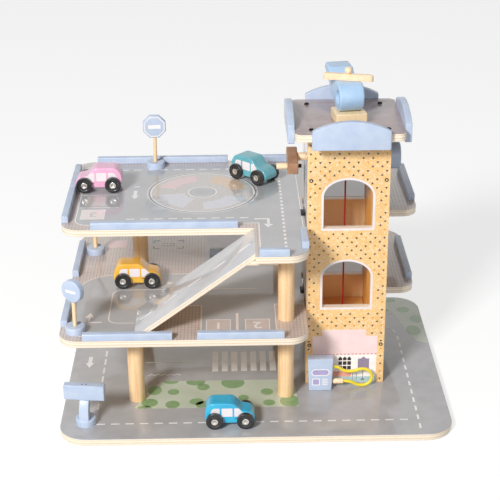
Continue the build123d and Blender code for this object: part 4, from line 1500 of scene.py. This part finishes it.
    def shop(self, place: Matrix) -> None:
        """Prints the shop front at the panel's foot: awning, wall, window and stools.

        Args:
            place: The frame of the panel's face.
        """
        layers: list[tuple[str, Print, Finish, float]] = [
            ("shop_wall", Print().bar((76.0, 156.0), (9.3, 50.5)), Coat.WALL, 0.06),
            ("shop_awning", Print().bar((74.0, 156.5), (50.0, 76.5)), Coat.AWNING, 0.08),
            ("shop_board", Print().bar((86.0, 142.0), (76.5, 85.5)), Coat.AWNING, 0.1),
            ("shop_floor", Print().bar((96.0, 156.0), (9.4, 17.5)), Coat.AQUA, 0.08),
            ("shop_counter", Print().bar((92.0, 124.0), (17.5, 25.5), 2.0), Coat.SALMON, 0.08),
            (
                "shop_notice",
                Print().area(
                    [
                        (132.5, 29.0), (147.0, 29.0), (147.0, 43.5), (143.0, 43.5), (139.8, 46.5),
                        (136.5, 43.5), (132.5, 43.5),
                    ],
                    0.4,
                ),
                Coat.PLUM, 0.1,
            ),
        ]
        scallops = Print()
        for i in range(17):
            scallops.oval(76.5 + 4.9 * i, 50.2, 1.9, 0.8, sides=14)
        layers.append(("awning_edge", scallops, Coat.TRIM, 0.12))
        panes = Print()
        for column in range(3):
            for level in range(3):
                low = 28.0 + 6.6 * level
                left = 107.6 + 5.7 * column
                if level < 2:
                    panes.bar((left, left + 4.7), (low, low + 5.2), 0.4)
                else:
                    panes.area(
                        [
                            (left, low), (left + 4.7, low), (left + 4.7, low + 3.2),
                            (left + 2.35, low + 5.6), (left, low + 3.2),
                        ],
                        0.5,
                    )
        layers.append(("shop_window", panes, Coat.BLACK_INK, 0.1))
        stools = Print()
        for x in (126.0, 131.0):
            stools.bar((x - 0.35, x + 0.35), (12.5, 22.5))
        stools.bar((138.6, 139.4), (12.5, 28.0))
        stools.line([(136.6, 12.0), (139.0, 15.0), (141.4, 12.0)], 0.6)
        layers.append(("shop_stools", stools, Coat.PLUM, 0.12))
        for name, shapes, ink, height in layers:
            stuck(shapes.film(name, ink, height), place, "garage")

    def rear_print(self) -> None:
        """Prints the rear panel: triangles and white door edges."""
        sills = [Road.GROUND.value, Road.MIDDLE.value, Road.TOP.value]
        place = on_back(self.back)
        self.pattern("rear", sills, place)
        edges = Print()
        for sill in sills[1:]:
            for margin in (2.7, 0.1):
                edges.outlines.append([(-x, z) for x, z in self.door(sill, margin)])
        stuck(edges.film("door_edges", Coat.GLASS, 0.1), place, "garage")


# ---- lift ---------------------------------------------------------------------------------------
@dataclass
class Lift:
    """The cabin on its red cord, wound on an axle that a crank turns."""

    x: float = 115.5
    y: float = -7.0
    axle_height: float = 300.5
    winding_radius: float = 6.15
    cord: float = 1.1
    turns: int = 3
    pitch: float = 2.75
    cabin_roof: float = 78.8
    travel: float = 207.1

    def build(self) -> None:
        """Builds and dresses the crank, the cord and the cabin."""
        eased_nodes([
            ("crank_arm", Coat.BROWN, 0.5),
            ("crank_handle", Coat.BEECH, 0.4),
            ("handle_screw", Coat.BLACK, 0.3),
            ("axle_disc", Coat.BLUE, 0.3),
            ("crank_axle", Coat.BEECH, 0.2),
            ("cabin_floor", Coat.CABIN, 0.5),
            ("cabin_roof", Coat.CABIN, 0.5),
            ("cabin_sides", Coat.CABIN, 0.5),
        ])
        self.winding()
        self.hanging_cord()
        self.knot()

    def tube(self, name: str, points: list[Vector], material: Material) -> Object:
        """Makes a mesh tube along a smooth line.

        Args:
            name: The piece's name.
            points: Control points of the line, in millimetres.
            material: The tube's material.

        Returns:
            The tube.
        """
        nurbs_tube(name, points, self.cord, 4, 4, 6)
        bpy.ops.object.convert(target="MESH")
        return dress(smooth(cleaned(bpy.context.active_object, 0.0005, 0.0), 60.0), material)

    def winding(self) -> None:
        """Winds the cord on the axle, its end tucked back along it."""
        points = [Vector((self.x, self.y - self.winding_radius, self.axle_height - 2 * self.cord))]
        steps = 16
        for i in range(steps * self.turns + 1):
            turn = i / steps
            angle = math.pi - 2 * math.pi * turn
            y = self.y + self.winding_radius * math.cos(angle)
            z = self.axle_height + self.winding_radius * math.sin(angle)
            points.append(Vector((self.x - self.pitch * turn, y, z)))
        points.append(points[-1] + Vector((0, 0, 2 * self.cord)))
        braid = Braid("winding_cord", along=90.0)
        set_up(self.tube("cord_winding_piece", points, braid.material()), "crank", "cord_winding")

    def hanging_cord(self) -> None:
        """Hangs the cord from the axle down to the cabin's roof."""
        y = self.y - self.winding_radius
        high = self.axle_height - 2 * self.cord
        points = [Vector((self.x, y, self.cabin_roof + (high - self.cabin_roof) * i / 5)) for i in range(6)]
        braid = Braid("lift_cord_braid", along=110.0)
        piece = self.tube("lift_cord_piece", points, braid.material())
        set_up(piece, "garage", "lift_cord")
        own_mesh(piece)

    def knot(self) -> None:
        """Ties the cord's end in a knot below the cabin's roof."""
        low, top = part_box("cord_knot")
        middle = (Vector(low) + Vector(top)) / 2 / MM
        points = []
        for i in range(19):
            t = 2 * math.pi * i / 18
            reach = 0.62 * (2.0 + math.cos(3 * t))
            points.append(
                middle + Vector((reach * math.cos(2 * t), reach * math.sin(2 * t), 1.1 * math.sin(3 * t)))
            )
        braid = Braid("knot_cord", along=14.0)
        set_up(self.tube("cord_knot_piece", points, braid.material()), "lift", "cord_knot")


# ---- toys ---------------------------------------------------------------------------------------
@dataclass
class Helicopter:
    """The wooden helicopter on the roof, with a rotor that spins on a pin."""

    def build(self) -> None:
        """Dresses the helicopter."""
        eased_node("helicopter_body", Coat.SKY.material(), 0.6, 3)
        eased_node("helicopter_block", Coat.BLOCK.material(), 0.4)
        eased_node("rotor_bar", Coat.BEECH.material(), 1.4, 4)
        eased_node("rotor_pin", Coat.BEECH.material(), 0.3)


@dataclass
class Car:
    """A wooden car with printed windows and turned wheels on steel axles."""

    name: str
    x: float
    y: float
    road: Road
    heading: float
    enamel: Enamel
    length: float = 62.0
    width: float = 24.0
    top: float = 33.0
    sill: float = 6.0
    edge: float = 4.8
    wheel_base: float = 37.5
    wheel_radius: float = 10.5
    wheel_width: float = 5.2
    wheel_middle: float = 10.8
    wheel_inner: float = 12.4
    cap_radius: float = 4.2
    cap_width: float = 1.6
    rod_radius: float = 1.25
    window_low: float = 15.2
    window_high: float = 26.6

    def place(self) -> Matrix:
        """Returns the car's place on its road."""
        there = Matrix.Translation(Vector((self.x, self.y, self.road.value)) * MM)
        return there @ Matrix.Rotation(math.radians(self.heading), 4, "Z")

    def build(self) -> None:
        """Builds the car."""
        self.body()
        self.windows()
        for end, word in ((-1, "rear"), (1, "front")):
            self.wheels(end, word)

    def outline(self) -> Outline:
        """Works out the body's side outline, with its corners sanded round.

        Returns:
            The outline, ahead and up from where the car stands.
        """
        half, top = self.length / 2, self.top
        corners = [
            (-half + 2.5, self.sill), (half - 2.5, self.sill), (half, 12.5), (half - 4.6, 20.4),
            (14.2, 22.6), (4.6, top),
            (-half + 7.2, top), (-half + 1.0, 23.5), (-half, 13.0),
        ]
        return eased(corners, [6, 6, 9, 8, 9, 11, 10, 14, 12])

    def body(self) -> None:
        """Saws the body to its side outline and sands its long edges round."""
        name = f"{self.name}_body_piece"
        body = Print([self.outline()]).film(name, self.enamel, self.width)
        cleaned(body)
        body.data.transform(on_front(self.width / 2))
        modified(
            body, "BEVEL", width=self.edge * MM, segments=6, limit_method="ANGLE",
            angle_limit=math.radians(45),
        )
        smooth(body, 50.0)
        body.data.transform(self.place())
        set_up(body, self.name, f"{self.name}_body")

    def side_prints(self) -> tuple[Print, Print, Print]:
        """Draws what is printed on the car's right side.

        Returns:
            The windows, the handle and the lamps.
        """
        low, high = self.window_low, self.window_high
        panes = Print()
        panes.area([(-24.8, low), (-12.6, low), (-12.6, high), (-22.0, high)], [2.0, 0.8, 0.8, 5.0])
        panes.area([(-10.2, low), (3.0, low), (3.0, high), (-10.2, high)], 0.8)
        panes.area(
            [(5.2, low), (17.6, low), (16.8, 18.6), (10.6, high), (5.2, high)], [0.8, 1.6, 2.2, 2.6, 0.8],
        )
        handles = Print().bar((5.6, 9.0), (12.2, 13.0), 0.3)
        lamps = Print().oval(-26.4, 14.0, 0.9, 1.8, sides=18).oval(26.4, 14.4, 0.9, 1.7, sides=18)
        return panes, handles, lamps

    def windows(self) -> None:
        """Prints three windows, a handle and lamps on each side."""
        side = self.width / 2
        for word, upright in (("right", on_front(-side)), ("left", on_back(side))):
            prints = self.side_prints()
            for shapes, ink, what in zip(
                prints, (Coat.GLASS, Coat.DARK, Coat.ROSE), ("windows", "handle", "lamps"),
            ):
                if word == "left":
                    shapes.outlines = [[(-x, z) for x, z in outline] for outline in shapes.outlines]
                film = shapes.film(f"{self.name}_{what}_{word}", ink, 0.12)
                stuck(film, self.place() @ upright, self.name)

    def wheel(self, side: int) -> list[Object]:
        """Turns one wheel and its cap, round the axle's end.

        Args:
            side: -1 for the car's right side, 1 for its left.

        Returns:
            The wheel and its steel cap, at the car's origin.
        """
        outer = self.wheel_inner + self.wheel_width
        middle = Vector((0, side * (self.wheel_inner + self.wheel_width / 2), self.wheel_middle))
        wheel = cylinder("wheel", middle, self.wheel_radius, self.wheel_width, (90, 0, 0), 56)
        choose(wheel, lambda p: side * p.y > outer - 0.1, True)
        bpy.ops.mesh.inset(thickness=3.0 * MM)
        bpy.ops.mesh.inset(thickness=0.9 * MM)
        bpy.ops.transform.translate(value=(0, -side * 0.7 * MM, 0))
        leave_edit()
        rounded(wheel, 1.1, 4, 30.0)
        dress(wheel, Coat.TYRE.material())
        cap = cylinder(
            "cap", Vector((0, side * (outer - 0.1), self.wheel_middle)), self.cap_radius, self.cap_width,
            (90, 0, 0), 32,
        )
        choose(cap, lambda p: side * p.y > outer + 0.6, True)
        bpy.ops.mesh.inset(thickness=1.5 * MM)
        bpy.ops.transform.translate(value=(0, side * 0.15 * MM, 0))
        bpy.ops.mesh.inset(thickness=1.2 * MM)
        bpy.ops.transform.translate(value=(0, -side * 0.7 * MM, 0))
        leave_edit()
        rounded(cap, 0.35, 2, 25.0)
        dress(cap, Coat.HUB.material())
        return [wheel, cap]

    def wheels(self, end: int, word: str) -> None:
        """Builds a pair of wheels on its axle.

        Args:
            end: -1 for the rear pair, 1 for the front one.
            word: The pair's name.
        """
        parts = self.wheel(-1) + self.wheel(1)
        rod = cylinder(
            "rod", Vector((0, 0, self.wheel_middle)), self.rod_radius, 2 * self.wheel_inner, (90, 0, 0),
            20,
        )
        parts.append(dress(rod, Coat.HUB.material()))
        pair = joined(f"{self.name}_{word}_wheels_piece", parts)
        ahead = Matrix.Translation((end * self.wheel_base / 2 * MM, 0, 0))
        pair.data.transform(self.place() @ ahead)
        node = f"{self.name}_{word}_wheels"
        set_up(pair, node, node)


@dataclass
class Signs:
    """Three road signs, the barrier and the fuel pump."""

    pump_x: float = 83.3
    pump_front: float = -79.3
    hose_radius: float = 2.0
    stop_place: tuple[float, float, float, float] = (-129.4, 162.8, 225.0, 4.0)
    round_place: tuple[float, float, float, float] = (-218.5, -114.0, 117.0, -32.0)
    triangle_place: tuple[float, float, float, float] = (-213.4, 120.0, 117.0, -12.0)

    def build(self) -> None:
        """Builds and dresses the signs, the barrier and the pump."""
        for name in ("stop_sign", "round_sign", "triangle_sign"):
            eased_node(name + "_base", Coat.BLUE.material(), 0.6)
            eased_node(name + "_post", Coat.POST.material(), 0.0)
            eased_node(name + "_head", Coat.BLUE.material(), 0.5)
        for node in ("barrier_base", "barrier_post", "barrier_board"):
            eased_node(node, Coat.BLUE.material(), 0.6)
        eased_node("pump_body", Coat.BLUE.material(), 0.5)
        self.faces()
        self.barrier_nails()
        self.pump_print()
        self.hose()

    def facing(self, place: tuple[float, float, float, float], height: float, depth: float) -> Matrix:
        """Returns the frame of a sign's face, centred on its head.

        Args:
            place: X, Y and height of the sign's road, and the turn of its face.
            height: From the road to the head's middle.
            depth: Half the head's thickness.

        Returns:
            The frame, with X across and Y up the face.
        """
        there = Matrix.Translation(Vector((place[0], place[1], place[2] + height)) * MM)
        turn = Matrix.Rotation(math.radians(place[3]), 4, "Z")
        return there @ turn @ on_front(-depth)

    def faces(self) -> None:
        """Prints the signs' faces: white edges and plain bars."""
        octagon = Print().oval(
            0, 0, 15.0, start=math.pi / 8, sides=8,
        ).oval(0, 0, 13.6, start=math.pi / 8, sides=8)
        octagon.bar((-8.4, 8.4), (-2.7, 2.7), 0.8)
        stuck(
            octagon.film("stop_sign_print", Coat.WHITE, 0.12), self.facing(self.stop_place, 59.5, 3.5),
            "stop_sign",
        )
        disc = Print().bar((-7.6, 7.6), (-1.9, 1.9), 0.5)
        stuck(
            disc.film("round_sign_print", Coat.WHITE, 0.12), self.facing(self.round_place, 55.5, 4.5),
            "round_sign",
        )
        inner = Print().oval(
            0, 0, 11.5, start=-math.pi / 2, sides=3,
        ).oval(0, 0, 8.5, start=-math.pi / 2, sides=3)
        stuck(
            inner.film("triangle_sign_print", Coat.WHITE, 0.12),
            self.facing(self.triangle_place, 54.0, 3.5), "triangle_sign",
        )

    def barrier_nails(self) -> None:
        """Drives two small nails into the top of the barrier's board."""
        low, high = (Vector(corner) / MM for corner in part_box("barrier_board"))
        middle = (low + high) / 2
        nails = [
            cylinder(
                "nail", Vector((middle.x + side * 2.4, middle.y - 1.0, high.z + 0.05)), 0.75, 0.5,
                sides=16,
            )
            for side in (-1, 1)
        ]
        piece = joined("barrier_nails", [rounded(nail, 0.15, 2) for nail in nails])
        set_up(dress(piece, Coat.BLACK.material()), "barrier")

    def pump_print(self) -> None:
        """Prints the pump's front: a screen, a small window and short lines."""
        x = self.pump_x
        place = on_front(self.pump_front)
        white = Print()
        white.bar((x - 11.5, x + 11.5), (30.5, 40.0), 4.7).bar((x - 10.3, x + 10.3), (31.7, 38.8), 3.5)
        white.frame((x - 10.6, x - 0.6), (16.8, 26.6), 1.1, 0.4)
        for i in range(4):
            white.bar((x + 2.2, x + 9.4), (17.2 + 2.55 * i, 18.4 + 2.55 * i), 0.3)
        stuck(white.film("pump_white_print", Coat.WHITE, 0.12), place, "fuel_pump")
        lilac = Print().bar((x - 10.3, x + 10.3), (31.7, 38.8), 3.5).bar((x - 9.3, x - 1.9), (18.1, 25.3))
        stuck(lilac.film("pump_screen", Coat.SCREEN, 0.08), place, "fuel_pump")

    def hose(self) -> None:
        """Lays the pump's limp yellow hose in its loop, and dresses its nozzle."""
        nozzle = eased_node("pump_nozzle", Coat.BEECH.material(), 0.3)
        route = [
            (94.7, -72.3, 40.5), (105.0, -72.3, 40.5), (112.6, -71.6, 33.4), (124.0, -70.6, 31.2),
            (138.0, -69.8, 35.9), (148.4, -69.6, 30.7),
            (150.8, -69.6, 19.6), (143.5, -69.8, 11.1), (131.5, -70.6, 11.3), (120.8, -72.3, 19.0),
            (110.1, -72.3, 19.0),
        ]
        hose = nurbs_tube("pump_hose_piece", [Vector(point) for point in route], self.hose_radius, 3, 6, 16)
        dress(hose, Coat.HOSE.material())
        set_up(hose, "fuel_pump", "pump_hose")


# ---- studio -------------------------------------------------------------------------------------
@dataclass
class Studio:
    """A pale floor, soft light from the front left, and a camera at the photograph's angle."""

    eye: tuple[float, float, float] = (-0.02852, -1.56751, 0.87445)
    lens: float = 96.65
    pitch: float = 24.15
    yaw: float = 0.91
    roll: float = -0.46
    key_distance: float = 4.5
    key_side: float = 29.0  # degrees to the left of straight ahead
    key_height: float = 33.0  # degrees above the floor
    key_power: float = 185.0
    key_size: float = 0.8
    front_distance: float = 3.0
    front_side: float = -8.0
    front_height: float = 20.0
    front_power: float = 9.0
    front_size: float = 1.6
    fill: float = 0.23

    def build(self) -> None:
        """Sets up the floor, the light and the camera."""
        self.floor()
        self.lamps()
        self.world()
        self.camera()
        bpy.context.scene.view_settings.view_transform = "Standard"

    def floor(self) -> None:
        """Lays a large pale floor that keeps the object's shadow."""
        bpy.ops.object.select_all(action="DESELECT")
        bpy.ops.mesh.primitive_plane_add(size=12, location=(0, 0, -0.0002))
        floor = bpy.context.active_object
        floor.name = "studio_floor"
        baked(floor)
        material = bpy.data.materials.new("pale_floor")
        material.use_nodes = True
        tree = material.node_tree
        tree.nodes.clear()
        every = shown_rays(tree)
        matt = add(tree, "BsdfDiffuse", {"Color": (0.5, 0.5, 0.505, 1)})
        seen = add(tree, "BsdfDiffuse", {"Color": (0.4, 0.4, 0.4, 1)})
        glow = add(tree, "Emission", {"Color": (1, 1, 1, 1), "Strength": 0.7})
        shown = add(tree, "AddShader", {0: seen.outputs[0], 1: glow.outputs[0]})
        mixed = add(tree, "MixShader", {0: every.outputs[0], 1: matt.outputs[0], 2: shown.outputs[0]})
        add(tree, "OutputMaterial", {"Surface": mixed.outputs[0]})
        floor.data.materials.append(material)

    def lamp(self, name: str, side: float, height: float, distance: float, size: float, power: float) -> None:
        """Hangs a square soft light that looks at the garage.

        Args:
            name: The lamp's name.
            side: Degrees to the left of straight ahead, as the camera sees it.
            height: Degrees above the floor.
            distance: Metres from the garage's middle.
            size: Its width in metres.
            power: Its power in watts.
        """
        data = bpy.data.lights.new(name, "AREA")
        data.shape = "SQUARE"
        data.size = size
        data.energy = power
        lamp = linked(name, data)
        across, up = math.radians(side), math.radians(height)
        way = Vector((-math.sin(across) * math.cos(up), -math.cos(across) * math.cos(up), math.sin(up)))
        target = Vector((0, 0, 0.15))
        lamp.location = target + way * distance
        lamp.rotation_euler = way.to_track_quat("Z", "Y").to_euler()

    def lamps(self) -> None:
        """Hangs the key light and a weak, wide light in front."""
        self.lamp(
            "key_light", self.key_side, self.key_height, self.key_distance, self.key_size, self.key_power,
        )
        self.lamp(
            "front_light", self.front_side, self.front_height, self.front_distance, self.front_size,
            self.front_power,
        )

    def world(self) -> None:
        """Fills the room with even white light, and shows white behind the garage."""
        world = bpy.data.worlds.new("studio_world")
        bpy.context.scene.world = world
        world.use_nodes = True
        tree = world.node_tree
        tree.nodes.clear()
        every = shown_rays(tree)
        fill = add(tree, "Background", {"Color": (1, 1, 1, 1), "Strength": self.fill})
        backdrop = add(tree, "Background", {"Color": (1, 1, 1, 1), "Strength": 1.0})
        mixed = add(tree, "MixShader", {0: every.outputs[0], 1: fill.outputs[0], 2: backdrop.outputs[0]})
        add(tree, "OutputWorld", {"Surface": mixed.outputs[0]})

    def camera(self) -> None:
        """Sets the camera where the photograph was taken from."""
        p, y, r = (math.radians(angle) for angle in (self.pitch, self.yaw, self.roll))
        ahead = Vector((math.sin(y) * math.cos(p), math.cos(y) * math.cos(p), -math.sin(p)))
        right = Vector((math.cos(y), -math.sin(y), 0))
        up = right.cross(ahead)
        right, up = right * math.cos(r) + up * math.sin(r), up * math.cos(r) - right * math.sin(r)
        data = bpy.data.cameras.new("photo_camera")
        data.lens = self.lens
        data.sensor_width = 36.0
        data.clip_end = 50.0
        camera = linked("photo_camera", data)
        turn = Matrix((right, up, -ahead)).transposed().to_4x4()
        camera.matrix_world = Matrix.Translation(self.eye) @ turn
        bpy.context.scene.camera = camera


def main() -> None:
    """Builds the whole garage, piece by piece, and its studio."""
    Studio().build()
    Signs().build()
    Boards().build()
    Tower().build()
    Lift().build()
    Helicopter().build()
    Car("pink_car", -199.6, 85.5, Road.TOP, 180.0, Coat.PINK).build()
    Car("turquoise_car", 4.5, 113.5, Road.TOP, -42.6, Coat.TURQUOISE).build()
    Car("yellow_car", -149.5, 20.0, Road.MIDDLE, 0.0, Coat.YELLOW).build()
    Car("blue_car", -32.0, -152.5, Road.GROUND, 0.0, Coat.AZURE).build()


if __name__ == "__main__":
    main()
